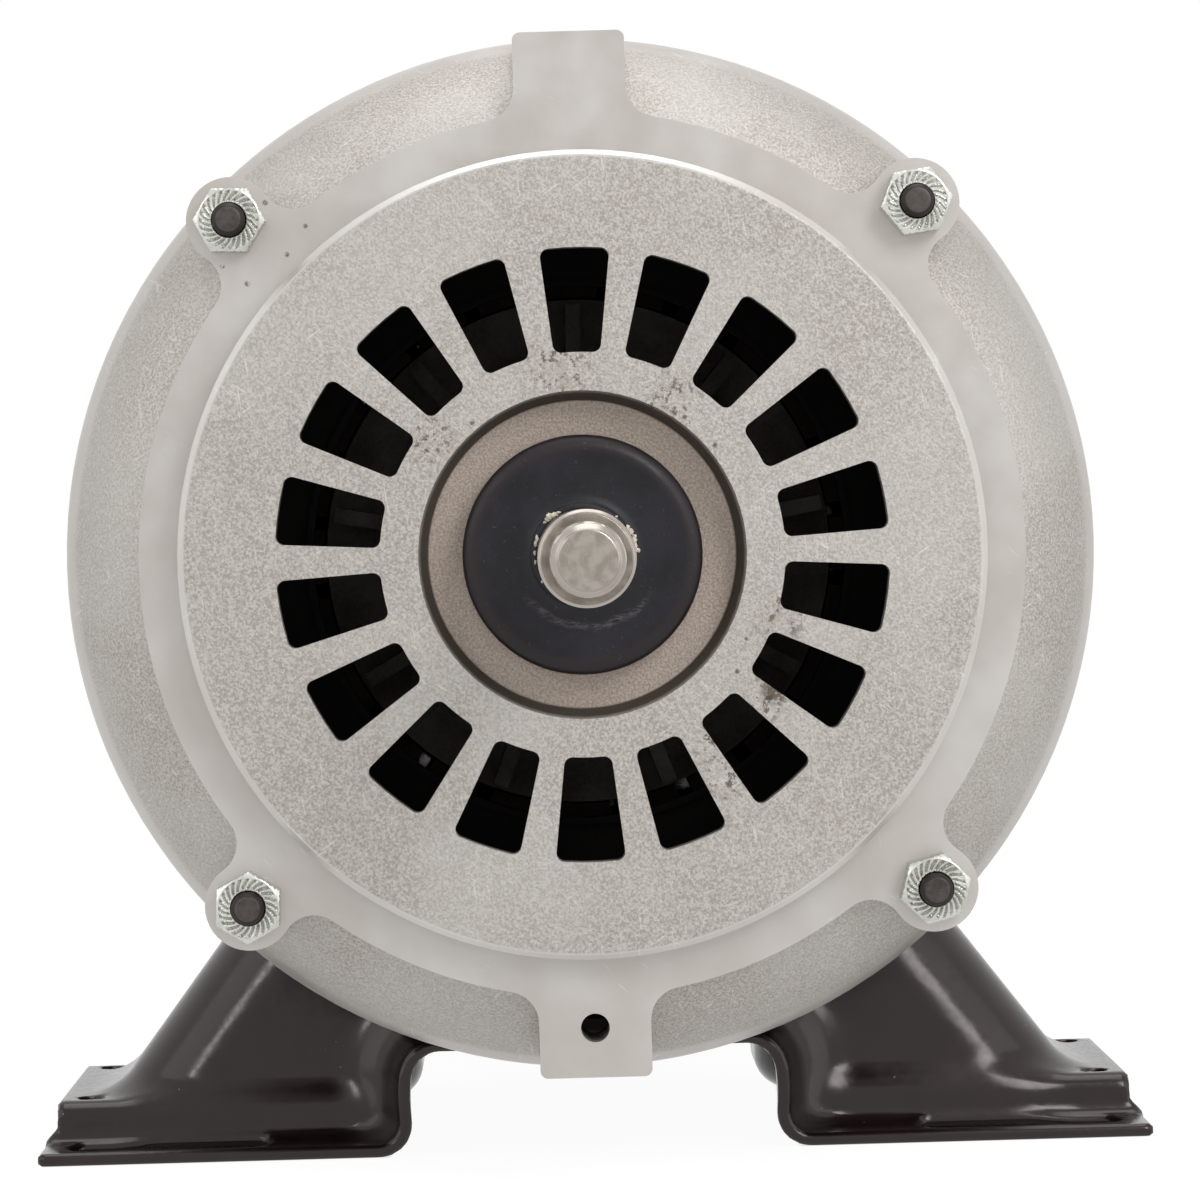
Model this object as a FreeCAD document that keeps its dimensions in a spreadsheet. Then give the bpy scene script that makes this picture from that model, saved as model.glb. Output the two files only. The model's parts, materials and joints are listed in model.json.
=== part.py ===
import FreeCAD, Part
import math
import os
import re
import Sketcher
from FreeCAD import Placement, Rotation, Vector

# Spa pump motor. The shaft runs along Y with the drive end at minus Y, Z is up.
# The origin is on the shaft axis, in the machined ring face of the front end bell.
# All sizes are in millimetres and degrees.

doc = FreeCAD.newDocument("spa_pump_motor")
sheet = doc.addObject("Spreadsheet::Sheet", "sizes")

SIZES = {
    # running clearance and the usual small gap between pieces that do not move
    "fit_gap": 0.05,
    "light_gap": 0.3,
    # front end bell, outside
    "disc_rise": 5.0,
    "ring_land": 5.7,
    "shoulder_width": 12.3,
    "disc_chamfer": 0.7,
    "ring_step": 2.5,
    "rim_lap": 2.56,
    "rim_crown": 25.0,
    "rim_back": 28.0,
    "spigot_length": 4.0,
    "spigot_wall": 3.0,
    "bell_wall": 4.0,
    "recess_r": 22.7,
    "recess_floor_r": 21.5,
    "recess_depth": 6.0,
    "floor_wall": 3.0,
    "floor_bore_r": 9.6,
    "hub_r": 25.0,
    "vent_count": 18,
    "vent_in_r": 28.0,
    "vent_out_shift": 2.0,
    "vent_angle": 13.2,
    "vent_corner": 1.2,
    # ears, thru-bolts and tabs
    "bolt_r": 2.415,
    "bolt_tip_reach": 5.6,
    "bolt_inset": 4.088,
    "bolt_tip_chamfer": 0.8,
    "bolt_hole_r": 2.65,
    "bolt_notch_r": 3.4,
    "bolt_head_flats": 7.94,
    "bolt_head_height": 3.2,
    "nut_flats": 8.73,
    "nut_height": 3.8,
    "nut_chamfer": 0.5,
    "ear_r": 6.2,
    "ear_depth": 20.0,
    "ear_fillet": 4.5,
    "tab_width": 15.6,
    "tab_short": 1.2,
    "tab_hole_edge": 6.9,
    "tab_corner": 1.1,
    "tab_hole_r": 2.0,
    "tab_hole_depth": 12.0,
    # shell
    "shell_r": 71.44,
    "shell_wall": 1.2,
    "shell_length": 124.0,
    # shaft
    "shaft_r": 6.35,
    "shaft_reach": 55.0,
    "shaft_chamfer": 0.6,
    "slinger_seat_r": 7.1,
    "slinger_seat_lead": 0.5,
    "thread_r": 4.76,
    "thread_length": 16.0,
    "thread_chamfer": 1.1,
    "thread_groove": 0.5,
    "core_seat_r": 10.0,
    "shaft_tail": 32.0,
    # bearings
    "front_brg_r": 20.0,
    "front_brg_bore_r": 8.5,
    "front_brg_width": 12.0,
    "front_ball_r": 3.37,
    "front_ball_count": 8,
    "rear_brg_r": 17.5,
    "rear_brg_bore_r": 7.5,
    "rear_brg_width": 11.0,
    "rear_ball_r": 2.98,
    "rear_ball_count": 8,
    "race_wall": 2.9,
    "shield_wall": 0.4,
    "ring_wire": 1.2,
    "wave_height": 1.5,
    # slinger
    "slinger_r": 16.6,
    "slinger_width": 5.0,
    "slinger_bevel": 1.4,
    "slinger_gap": 2.0,
    # stator and rotor
    "core_start": 58.0,
    "core_length": 54.0,
    "bore_share": 0.546,
    "air_gap": 0.35,
    "slot_count": 24,
    "slot_lead": 2.65,
    "slot_back_wall": 14.24,
    "winding_lead": 0.2,
    "winding_split": 1.5,
    "winding_room": 10.24,
    "slot_width": 5.2,
    "slot_mouth": 2.4,
    "winding_reach": 16.0,
    "winding_soft": 2.0,
    "winding_soft_share": 0.45,
    "end_ring_height": 5.0,
    "end_ring_in_r": 20.0,
    "cage_bar_count": 28,
    "cage_bar_r": 1.75,
    "cage_bar_edge": 3.5,
    "blade_count": 9,
    "blade_height": 12.0,
    "blade_in_r": 24.0,
    "blade_edge": 1.5,
    "blade_wall": 2.2,
    # air baffle
    "baffle_wall": 1.0,
    "baffle_depth": 6.0,
    "baffle_lead": 0.65,
    "baffle_lip": 2.5,
    # rear end bell and cover
    "rear_rim_width": 8.0,
    "rear_rim_lap": 1.76,
    "rear_seat_width": 15.2,
    "rear_vent_edge": 23.2,
    "rear_seat_rise": 4.0,
    "web_start": 6.0,
    "web_wall": 3.5,
    "rear_floor_wall": 2.4,
    "rear_bore_r": 9.0,
    "rear_hub_wall": 5.0,
    "rear_vent_count": 12,
    "rear_vent_in_r": 30.0,
    "rear_vent_angle": 13.0,
    "cover_wall": 0.9,
    "cover_room": 18.5,
    "cover_corner_r": 4.0,
    "cover_slot_count": 7,
    "cover_slot_width": 3.0,
    "cover_slot_ease": 0.45,
    "cover_slot_length": 44.0,
    "cover_slot_pitch": 8.0,
    "post_r": 4.5,
    "post_inset": 15.2,
    "post_rise": 8.0,
    "screw_r": 2.05,
    "screw_head_r": 4.0,
    "screw_head_height": 2.4,
    "screw_bite": 10.0,
    # governor
    "governor_start": 3.2,
    "governor_plate_wall": 1.6,
    "governor_hub_r": 9.6,
    "governor_hub_length": 2.4,
    "governor_half_width": 4.2,
    "governor_reach": 16.5,
    "governor_ear_wall": 1.2,
    "governor_gap": 0.15,
    "pivot_r": 1.0,
    "pivot_spread": 13.5,
    "pivot_rise": 4.0,
    "weight_leg": 7.0,
    "collar_r": 8.3,
    "collar_flange_r": 11.0,
    "collar_length": 5.5,
    "collar_flange_wall": 1.6,
    "spring_r": 7.6,
    "spring_wire_r": 0.4,
    "spring_turns": 3,
    "retainer_wall": 1.2,
    # stationary switch
    "arm_wall": 1.2,
    "arm_half_width": 4.0,
    "arm_pivot_x": 32.0,
    "arm_reach_x": 9.2,
    "contact_x": 25.0,
    "contact_r": 2.0,
    "contact_height": 1.0,
    "switch_in_x": 21.0,
    "switch_out_x": 46.0,
    "switch_half_width": 9.0,
    "switch_rise": 10.0,
    # terminal board, protector, capacitor
    "board_low": 44.0,
    "board_high": 15.0,
    "board_wall": 3.0,
    "board_rise": 9.0,
    "board_edge": 20.3,
    "board_width": 36.0,
    "board_pitch": 13.0,
    "board_margin": 6.0,
    "blade_tab_width": 6.35,
    "blade_tab_wall": 0.8,
    "blade_tab_height": 8.0,
    "protector_height": 9.0,
    "protector_room": 5.25,
    "protector_lift": 0.25,
    "protector_shift": 12.0,
    "cap_rise": 10.5,
    "cap_low": 21.25,
    "cap_head": 14.55,
    "cap_clear": 4.77,
    "clip_wall": 0.8,
    "clip_width": 12.0,
    "clip_reach": 4.75,
    # ground screw
    "ground_x": 32.0,
    "ground_rise": 4.5,
    # conduit plug, bonding lug
    "plug_r": 11.0,
    "plug_flange_r": 13.0,
    "plug_depth": 5.0,
    "plug_wall": 1.5,
    "plug_rise": 30.0,
    "lug_length": 9.0,
    "lug_width": 7.0,
    "lug_height": 11.0,
    "lug_wire_r": 2.6,
    # base
    "sheet_wall": 1.9,
    "base_drop": 17.46,
    "base_spread": 11.11,
    "base_front": 41.5,
    "base_back": 126.15,
    "foot_y": 48.9,
    "foot_edge": 19.05,
    "foot_spacing": 69.85,
    "foot_slot_length": 30.0,
    "foot_slot_r": 4.35,
    "platform_height": 8.0,
    "platform_edge": 1.75,
    "platform_hole_edge": 4.8,
    "platform_front": 54.0,
    "platform_back": 103.0,
    "platform_hole_r": 1.75,
    "platform_hole_inset": 5.1,
    "leg_inset": 1.5,
    "leg_top_angle": 44.77,
    "leg_cut_step": 5.7,
    "leg_angle": 37.0,
    "leg_corner": 7.0,
    "leg_lap": 12.0,
    "tunnel_half_width": 27.0,
    "tunnel_flare": 4.5,
    "tunnel_corner": 4.1,
}

# Sizes that follow from the ones above, as formulas of the sheet.
FORMULAS = {
    "rim_r": "shell_r + rim_lap",
    "ring_r": "rim_r - shoulder_width",
    "disc_r": "ring_r - ring_land",
    "vent_out_r": "(hub_r + disc_r) / 2 + vent_out_shift",
    "bolt_square": "(shell_r - bolt_inset) * sqrt(2)",
    "tab_reach": "rim_r - tab_short",
    "tab_hole_reach": "tab_reach - tab_hole_edge",
    "shell_in_r": "shell_r - shell_wall",
    "spigot_r": "shell_in_r - fit_gap",
    "spigot_in_r": "spigot_r - spigot_wall",
    "shell_back": "rim_back + shell_length",
    "dome_r": "((rim_r - ring_r)^2 + (rim_crown - ring_step)^2) / (2 * (rim_r - ring_r))",
    "dome_x": "rim_r - dome_r",
    "dome_in_r": "dome_r - bell_wall",
    "floor_front": "recess_depth - disc_rise",
    "front_brg_start": "floor_front + floor_wall",
    "front_brg_end": "front_brg_start + front_brg_width",
    "front_groove_r": "front_brg_r + 1",
    "front_hub_end": "front_brg_end + ring_wire + 2",
    "slinger_back": "floor_front - slinger_gap",
    "slinger_front": "slinger_back - slinger_width",
    "core_end": "core_start + core_length",
    "bore_r": "shell_in_r * bore_share",
    "slot_in_r": "bore_r + slot_lead",
    "slot_out_r": "shell_in_r - slot_back_wall",
    "winding_in_r": "slot_in_r + winding_lead",
    "winding_split_r": "(slot_in_r + slot_out_r) / 2 - winding_split",
    "winding_out_r": "shell_in_r - winding_room",
    "rotor_r": "bore_r - air_gap",
    "cage_bar_circle_r": "rotor_r - cage_bar_edge",
    "blade_out_r": "rotor_r - blade_edge",
    "baffle_in_r": "bore_r + baffle_lead",
    "rear_rim_r": "shell_r + rear_rim_lap",
    "rear_seat_in_r": "rear_rim_r - rear_seat_width",
    "rear_vent_out_r": "rear_rim_r - rear_vent_edge",
    "post_spread": "rear_rim_r - post_inset",
    "post_z": "max(post_rise; switch_half_width + 2 * post_r + light_gap + switch_out_x - post_spread)",
    "web_front": "shell_back + web_start",
    "web_back": "web_front + web_wall",
    "rear_rim_end": "shell_back + rear_rim_width",
    "rear_seat": "rear_rim_end + rear_seat_rise",
    "cover_in_r": "rear_rim_r - cover_wall",
    "cap_r": "(cover_in_r - cap_head - cap_low) / 2",
    "cap_height": "cap_low + cap_r",
    "cap_length": "2 * sqrt((cover_in_r - cap_clear)^2 - (cap_height + cap_r)^2)",
    "cover_length": "2 * cap_r + cover_room",
    "cover_end": "rear_rim_end + cover_length",
    "rear_brg_start": "web_front - 2",
    "rear_brg_end": "rear_brg_start + rear_brg_width",
    "rear_floor": "rear_brg_end + wave_height",
    "rear_hub_end": "rear_floor + rear_floor_wall",
    "governor_front": "rear_hub_end + governor_start",
    "governor_face": "governor_front + governor_plate_wall",
    "pivot_y": "governor_face + pivot_rise",
    "collar_front": "pivot_y + 2",
    "collar_end": "collar_front + collar_length",
    "shaft_end": "rear_brg_end + shaft_tail",
    "retainer_start": "shaft_end - 3.5",
    "arm_front": "collar_end + light_gap",
    "cap_y": "web_back + cap_rise + cap_r",
    "arm_y": "arm_front + arm_wall / 2",
    "switch_front": "web_back + switch_rise",
    "switch_top": "arm_front - 2 * contact_height - fit_gap",
    "board_front": "web_back + board_rise",
    "board_mid": "(board_low + board_high) / 2",
    "board_out_x": "cover_in_r - board_edge",
    "board_in_x": "board_out_x - board_width",
    "protector_r": "(rear_seat_in_r - rear_brg_r - rear_hub_wall) / 2 - protector_room",
    "protector_drop": "(rear_seat_in_r + rear_brg_r + rear_hub_wall) / 2 + protector_lift",
    "clip_screw_z": "cap_height + cap_r + clip_reach",
    "clip_seat": "cap_y - cap_r - fit_gap - clip_wall",
    "ground_seat": "web_back + ground_rise",
    "post_end": "cover_end - cover_wall - fit_gap",
    "shaft_height": "shell_r + base_drop",
    "foot_level": "-shaft_height",
    "base_half_width": "shell_r + base_spread",
    "foot_x": "base_half_width - foot_edge",
    "platform_half_width": "base_half_width - platform_edge",
    "platform_hole_x": "platform_half_width - platform_hole_edge",
    "leg_top_x": "shell_r * sin(leg_top_angle)",
    "leg_top_drop": "shell_r * cos(leg_top_angle)",
    "leg_cut_drop": "leg_top_drop - leg_cut_step",
    "leg_slope": "tan(leg_angle)",
    "leg_high_x": "leg_top_x - (leg_top_drop - leg_cut_drop) * leg_slope",
    "leg_low_x": "leg_top_x + (shaft_height - platform_height - leg_top_drop) * leg_slope",
}

for row, (name, value) in enumerate(SIZES.items(), 1):
    sheet.set("A%d" % row, name)
    sheet.set("B%d" % row, str(value))
    sheet.setAlias("B%d" % row, name)
doc.recompute()
for row, (name, formula) in enumerate(FORMULAS.items(), 1):
    sheet.set("D%d" % row, name)
    sheet.set("E%d" % row, "=" + formula)
    sheet.setAlias("E%d" % row, name)
doc.recompute()

NAMES = set(SIZES) | set(FORMULAS)
TURN = {"x": Rotation(Vector(0, 1, 0), 90), "y": Rotation(Vector(1, 0, 0), -90), "z": Rotation()}
AXIS = {"x": Vector(1, 0, 0), "y": Vector(0, 1, 0), "z": Vector(0, 0, 1)}
subparts = []


def link(text):
    """The expression with every size name pointed at the sheet."""
    return re.sub(r"[a-z][a-z_0-9]+", lambda word: "sizes." * (word.group() in NAMES) + word.group(), text)


def size(text):
    """The present value of an expression of sizes."""
    return float(sheet.evalExpression(link(text)))


def subpart(label, thing):
    """Names a finished object as one sub-part of the motor."""
    thing.Label = label
    subparts.append(thing)
    return thing


def shift(thing, spot):
    """Binds the place of an object to three expressions."""
    for letter, text in zip("xyz", spot):
        thing.setExpression("Placement.Base." + letter, link(text))
    return thing


def segment(start, end, radius):
    """A line, or an arc of the radius, counter-clockwise when the radius is positive."""
    if not radius:
        return Part.LineSegment(start, end), 1, 2
    chord = end - start
    rise = math.sqrt(max(radius ** 2 - chord.Length ** 2 / 4, 0))
    across = Vector(-chord.y, chord.x, 0).normalize() * math.copysign(rise, radius)
    centre = (start + end) / 2 + across
    angles = [math.atan2(spot.y - centre.y, spot.x - centre.x) for spot in (start, end)]
    circle = Part.Circle(centre, Vector(0, 0, 1), abs(radius))
    if radius > 0:
        return Part.ArcOfCircle(circle, angles[0], angles[1]), 1, 2
    return Part.ArcOfCircle(circle, angles[1], angles[0]), 2, 1


def outline(sketch, points):
    """Closes a loop through the points; a third value is the radius of the arc that leads there."""
    spots = [Vector(size(point[0]), size(point[1]), 0) for point in points]
    ends = []
    for index, start in enumerate(spots):
        target = points[(index + 1) % len(points)]
        radius = size(target[2]) if len(target) == 3 else 0
        curve, first, last = segment(start, spots[(index + 1) % len(points)], radius)
        sketch.addGeometry(curve, False)
        ends.append((first, last))
        if radius:
            rule = sketch.addConstraint(Sketcher.Constraint("Radius", index, abs(radius)))
            sketch.setExpression("Constraints[%d]" % rule, link("abs(%s)" % target[2]))
    for index, point in enumerate(points):
        first = ends[index][0]
        sketch.addConstraint(Sketcher.Constraint("Coincident", index - 1 if index else len(points) - 1,
                                                 ends[index - 1][1], index, first))
        spot = spots[index]
        for way, text, value in (("DistanceX", point[0], spot.x), ("DistanceY", point[1], spot.y)):
            rule = sketch.addConstraint(Sketcher.Constraint(way, -1, 1, index, first, value))
            sketch.setExpression("Constraints[%d]" % rule, link(text))


def sketched(name, points, plane, offset="0"):
    """A body with one closed sketch on an origin plane, moved along the plane's normal."""
    body = doc.addObject("PartDesign::Body", name)
    sketch = body.newObject("Sketcher::SketchObject", name + "_outline")
    origin_plane = [feature for feature in body.Origin.OriginFeatures if feature.Role == plane][0]
    sketch.AttachmentSupport = [(origin_plane, "")]
    sketch.MapMode = "FlatFace"
    sketch.setExpression("AttachmentOffset.Base.z", link(offset))
    outline(sketch, points)
    return body, sketch


def turned(name, points):
    """A body of revolution about the shaft axis from points of radius and Y."""
    body, sketch = sketched(name, points, "XY_Plane")
    turn = body.newObject("PartDesign::Revolution", name + "_turn")
    turn.Profile = sketch
    turn.ReferenceAxis = (sketch, ["V_Axis"])
    turn.Angle = 360
    return body


def slab(name, points, start, length):
    """A body from points of X and Z, extruded along Y from the start."""
    body, sketch = sketched(name, points, "XZ_Plane", "-(%s)" % start)
    pad = body.newObject("PartDesign::Pad", name + "_pad")
    pad.Profile = sketch
    pad.setExpression("Length", link(length))
    pad.Reversed = True
    return body


def rod(name, axis, radius, length, spot, angle="360"):
    """A cylinder along one axis from the spot."""
    thing = doc.addObject("Part::Cylinder", name)
    thing.Placement = Placement(Vector(), TURN[axis])
    thing.setExpression("Radius", link(radius))
    thing.setExpression("Height", link(length))
    thing.setExpression("Angle", link(angle))
    return shift(thing, spot)


def block(name, low, high):
    """A box between two corners."""
    thing = doc.addObject("Part::Box", name)
    for side, start, end in zip(("Length", "Width", "Height"), low, high):
        thing.setExpression(side, link("(%s) - (%s)" % (end, start)))
    return shift(thing, low)


def hexagon(name, flats, height, spot, angle=0):
    """A hexagonal prism along Y."""
    thing = doc.addObject("Part::Prism", name)
    thing.Polygon = 6
    thing.Placement = Placement(Vector(), TURN["y"].multiply(Rotation(Vector(0, 0, 1), angle)))
    thing.setExpression("Circumradius", link("(%s) / 2 / cos(30)" % flats))
    thing.setExpression("Height", link(height))
    return shift(thing, spot)


def ball(name, radius, spot):
    """A sphere at the spot, its poles across the x axis."""
    thing = doc.addObject("Part::Sphere", name)
    thing.Placement = Placement(Vector(), TURN["x"])
    thing.setExpression("Radius", link(radius))
    return shift(thing, spot)


def cut(name, base, *tools):
    """The base without the tools."""
    thing = doc.addObject("Part::Cut", name)
    thing.Base = base
    thing.Tool = tools[0] if len(tools) == 1 else fuse(name + "_tools", *tools)
    return thing


def fuse(name, *pieces):
    """The pieces made one."""
    thing = doc.addObject("Part::MultiFuse", name)
    thing.Shapes = list(pieces)
    thing.Refine = True
    return thing


def common(name, first, second):
    """What two pieces share."""
    thing = doc.addObject("Part::Common", name)
    thing.Base = first
    thing.Tool = second
    return thing


def group(name, *pieces):
    """Separate solids kept together."""
    thing = doc.addObject("Part::Compound", name)
    thing.Links = list(pieces)
    return thing


def around(name, thing, count, first=0.0):
    """Copies of a thing spread evenly about the shaft axis."""
    copies = []
    for number in range(count):
        copy = doc.addObject("App::Link", "%s_%d" % (name, number + 1))
        copy.LinkedObject = thing
        copy.LinkTransform = True
        copy.Placement = Placement(Vector(), Rotation(AXIS["y"], first + 360.0 / count * number))
        copies.append(copy)
    return group(name, *copies)


def moved(name, thing, *spots):
    """Copies of a thing, each moved by one spot of expressions."""
    copies = []
    for number, spot in enumerate(spots):
        copy = doc.addObject("App::Link", "%s_%d" % (name, number + 1))
        copy.LinkedObject = thing
        copy.LinkTransform = True
        copies.append(shift(copy, spot))
    return group(name, *copies)


def rounded(name, thing, radius, choose):
    """The thing with a fillet on every edge that the choice accepts."""
    doc.recompute()
    fillet = doc.addObject("Part::Fillet", name)
    fillet.Base = thing
    value = size(radius)
    edges = enumerate(thing.Shape.Edges, 1)
    fillet.Edges = [(number, value, value) for number, edge in edges if choose(edge)]
    return fillet


def straight(edge, axis):
    """Whether an edge is a line along the axis."""
    if not isinstance(edge.Curve, (Part.Line, Part.LineSegment)):
        return False
    way = edge.Vertexes[-1].Point - edge.Vertexes[0].Point
    return abs(way.normalize().dot(AXIS[axis])) > 0.999


def sector(name, inner, outer, angle, corner, start, length):
    """A rounded ring sector about the top of the shaft axis, as a tool along Y."""
    wide = rod(name + "_wide", "y", outer, length, ("0", start, "0"), angle)
    core = rod(name + "_core", "y", inner, length, ("0", start, "0"))
    piece = cut(name + "_piece", wide, core)
    soft = rounded(name, piece, corner, lambda edge: straight(edge, "y"))
    soft.Placement = Placement(Vector(), Rotation(AXIS["y"], -90 - size(angle) / 2))
    return soft


def leaves_ring(edge):
    """Whether an edge is where the side of an ear or tab leaves the machined ring."""
    return straight(edge, "y") and abs(math.hypot(*edge.CenterOfMass[::2]) - size("ring_r")) < 0.2


def front_end_bell():
    """Cast end bell: machined ring, raised disc with vents, hub recess, ears and tabs."""
    casting = turned("bell_casting", [
        ("floor_bore_r", "floor_front"),
        ("recess_floor_r", "floor_front"),
        ("recess_r", "-disc_rise"),
        ("disc_r - disc_chamfer", "-disc_rise"),
        ("disc_r", "-disc_rise + disc_chamfer"),
        ("disc_r", "0"),
        ("ring_r", "0"),
        ("ring_r", "ring_step"),
        ("rim_r", "rim_crown", "dome_r"),
        ("rim_r", "rim_back"),
        ("spigot_r", "rim_back"),
        ("spigot_r", "rim_back + spigot_length"),
        ("spigot_in_r", "rim_back + spigot_length"),
        ("spigot_in_r", "rim_crown - sqrt(dome_in_r^2 - (spigot_in_r - dome_x)^2)"),
        ("dome_x + sqrt(dome_in_r^2 - (rim_crown - bell_wall)^2)", "bell_wall", "-dome_in_r"),
        ("disc_r - bell_wall", "bell_wall - disc_rise"),
        ("hub_r + 1", "bell_wall - disc_rise"),
        ("hub_r", "front_hub_end"),
        ("front_brg_r", "front_hub_end"),
        ("front_brg_r", "front_brg_end + ring_wire + fit_gap"),
        ("front_groove_r", "front_brg_end + ring_wire + fit_gap"),
        ("front_groove_r", "front_brg_end"),
        ("front_brg_r", "front_brg_end"),
        ("front_brg_r", "front_brg_start"),
        ("floor_bore_r", "front_brg_start"),
    ])
    ring = rod("machined_ring", "y", "ring_r", "ear_depth", ("0", "0", "0"))
    ear = rod("ear", "y", "ear_r", "ear_depth", ("bolt_square / 2", "0", "bolt_square / 2"))
    ears = around("ears", ear, 4)
    tab = rounded("tab", block("tab_block", ("-tab_width / 2", "0", "ring_r - 6"),
                               ("tab_width / 2", "ear_depth", "tab_reach")),
                  "tab_corner", lambda edge: straight(edge, "y") and edge.CenterOfMass.z > size("ring_r"))
    tabs = around("tabs", tab, 2)
    flange = fuse("flange", ring, ears, tabs)
    eased = rounded("flange_eased", flange, "ear_fillet", leaves_ring)
    hollow = rod("flange_hollow", "y", "disc_r - fit_gap", "ear_depth", ("0", "0", "0"))
    dome = turned("dome_room", [
        ("0", "bell_wall"),
        ("dome_x", "rim_crown - dome_in_r"),
        ("spigot_in_r", "rim_crown - sqrt(dome_in_r^2 - (spigot_in_r - dome_x)^2)", "dome_in_r"),
        ("spigot_in_r", "rim_back"),
        ("0", "rim_back"),
    ])
    bosses = cut("flange_bosses", eased, hollow, dome)
    whole = fuse("bell_whole", casting, bosses)
    vent = sector("vent", "vent_in_r", "vent_out_r", "vent_angle", "vent_corner",
                  "-disc_rise - 1", "bell_wall + 2")
    vents = around("vents", vent, int(size("vent_count")))
    hole = rod("bolt_hole", "y", "bolt_hole_r", "rim_back + 1", ("bolt_square / 2", "-1", "bolt_square / 2"))
    notch = rod("spigot_notch", "y", "bolt_notch_r", "spigot_length + 1",
                ("bolt_square / 2", "rim_back", "bolt_square / 2"))
    pin_hole = rod("tab_hole", "y", "tab_hole_r", "tab_hole_depth + 1", ("0", "-1", "-tab_hole_reach"))
    subpart("front_end_bell", cut("bell_cut", whole, vents, around("bolt_holes", hole, 4),
                                  around("spigot_notches", notch, 4), pin_hole))


def shell():
    """Rolled steel shell between the two end bells."""
    subpart("motor_shell", turned("shell", [
        ("shell_in_r", "rim_back"),
        ("shell_r", "rim_back"),
        ("shell_r", "shell_back"),
        ("shell_in_r", "shell_back"),
    ]))


def bearing(side, first):
    """Ball bearing: two races, caged balls and two shields."""
    outer, inner = side + "_brg_r", side + "_brg_bore_r"
    start, width = side + "_brg_start", side + "_brg_width"
    groove = side + "_ball_r + fit_gap"
    pitch = "(%s + %s) / 2" % (outer, inner)
    ball_y = "%s + %s / 2" % (start, width)
    track = doc.addObject("Part::Torus", side + "_track")
    track.Placement = Placement(Vector(), TURN["y"])
    track.setExpression("Radius1", link(pitch))
    track.setExpression("Radius2", link(groove))
    shift(track, ("0", ball_y, "0"))
    races = (("outer", outer + " - race_wall", outer), ("inner", inner, inner + " + race_wall"))
    for label, low, high in races:
        race = turned("%s_%s_ring" % (side, label), [
            (low, start),
            (high, start),
            (high, "%s + %s" % (start, width)),
            (low, "%s + %s" % (start, width)),
        ])
        subpart("%s_bearing_%s_race" % (side, label), cut("%s_%s_race" % (side, label), race, track))
    one = ball(side + "_ball", side + "_ball_r", ("0", ball_y, pitch))
    cage = turned(side + "_cage", [
        (pitch + " - 0.6", ball_y + " - 1.2"),
        (pitch + " + 0.6", ball_y + " - 1.2"),
        (pitch + " + 0.6", ball_y + " + 1.2"),
        (pitch + " - 0.6", ball_y + " + 1.2"),
    ])
    balls = around(side + "_balls", one, int(size(side + "_ball_count")), first)
    subpart(side + "_bearing_balls", fuse(side + "_caged_balls", balls, cage))
    shields = []
    for number, spot in enumerate((start, "%s + %s - shield_wall" % (start, width))):
        shields.append(turned("%s_shield_%d" % (side, number + 1), [
            (inner + " + race_wall + fit_gap", spot),
            (outer + " - race_wall - 0.01", spot),
            (outer + " - race_wall - 0.01", spot + " + shield_wall"),
            (inner + " + race_wall + fit_gap", spot + " + shield_wall"),
        ]))
    subpart(side + "_bearing_shields", group(side + "_shields", *shields))


def snap_ring():
    """Internal ring that keeps the front bearing in its bore."""
    ring = turned("snap_ring", [
        ("front_brg_r - 2", "front_brg_end"),
        ("front_groove_r - fit_gap", "front_brg_end"),
        ("front_groove_r - fit_gap", "front_brg_end + ring_wire"),
        ("front_brg_r - 2", "front_brg_end + ring_wire"),
    ])
    gap = block("snap_ring_gap", ("-3", "front_brg_end - 1", "0"),
                ("3", "front_brg_end + ring_wire + 1", "front_brg_r + 2"))
    subpart("front_snap_ring", cut("snap_ring_open", ring, gap))


def wave_washer():
    """Spring washer that loads the rear bearing, drawn at its working height."""
    subpart("rear_wave_washer", turned("wave_washer", [
        ("rear_brg_r - 3", "rear_brg_end"),
        ("rear_brg_r - fit_gap", "rear_brg_end"),
        ("rear_brg_r - fit_gap", "rear_floor"),
        ("rear_brg_r - 3", "rear_floor"),
    ]))


def shaft():
    """Turned shaft: threaded end, drive length, bearing seats, core seat and tail."""
    body = turned("shaft_bar", [
        ("0", "-shaft_reach - thread_length"),
        ("thread_r - thread_chamfer", "-shaft_reach - thread_length"),
        ("thread_r", "-shaft_reach - thread_length + thread_chamfer"),
        ("thread_r", "-shaft_reach - 2"),
        ("thread_r - thread_groove", "-shaft_reach - 2 + thread_groove"),
        ("thread_r - thread_groove", "-shaft_reach"),
        ("shaft_r - shaft_chamfer", "-shaft_reach"),
        ("shaft_r", "-shaft_reach + shaft_chamfer"),
        ("shaft_r", "slinger_front - slinger_seat_lead"),
        ("slinger_seat_r", "slinger_front - slinger_seat_lead"),
        ("slinger_seat_r", "floor_front + 0.5"),
        ("front_brg_bore_r", "floor_front + 0.5"),
        ("front_brg_bore_r", "front_brg_end"),
        ("core_seat_r", "front_brg_end"),
        ("core_seat_r", "rear_brg_start"),
        ("rear_brg_bore_r", "rear_brg_start"),
        ("rear_brg_bore_r", "rear_brg_end + 0.5"),
        ("shaft_r", "rear_brg_end + 0.5"),
        ("shaft_r", "shaft_end - shaft_chamfer"),
        ("shaft_r - shaft_chamfer", "shaft_end"),
        ("0", "shaft_end"),
    ])
    slot = block("shaft_slot", ("-shaft_r - 1", "shaft_end - 2", "-0.8"),
                 ("shaft_r + 1", "shaft_end + 1", "0.8"))
    groove = turned("retainer_groove", [
        ("shaft_r - 0.7", "retainer_start"),
        ("shaft_r + 1", "retainer_start"),
        ("shaft_r + 1", "retainer_start + retainer_wall"),
        ("shaft_r - 0.7", "retainer_start + retainer_wall"),
    ])
    subpart("shaft", cut("shaft_cut", body, slot, groove))


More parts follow.
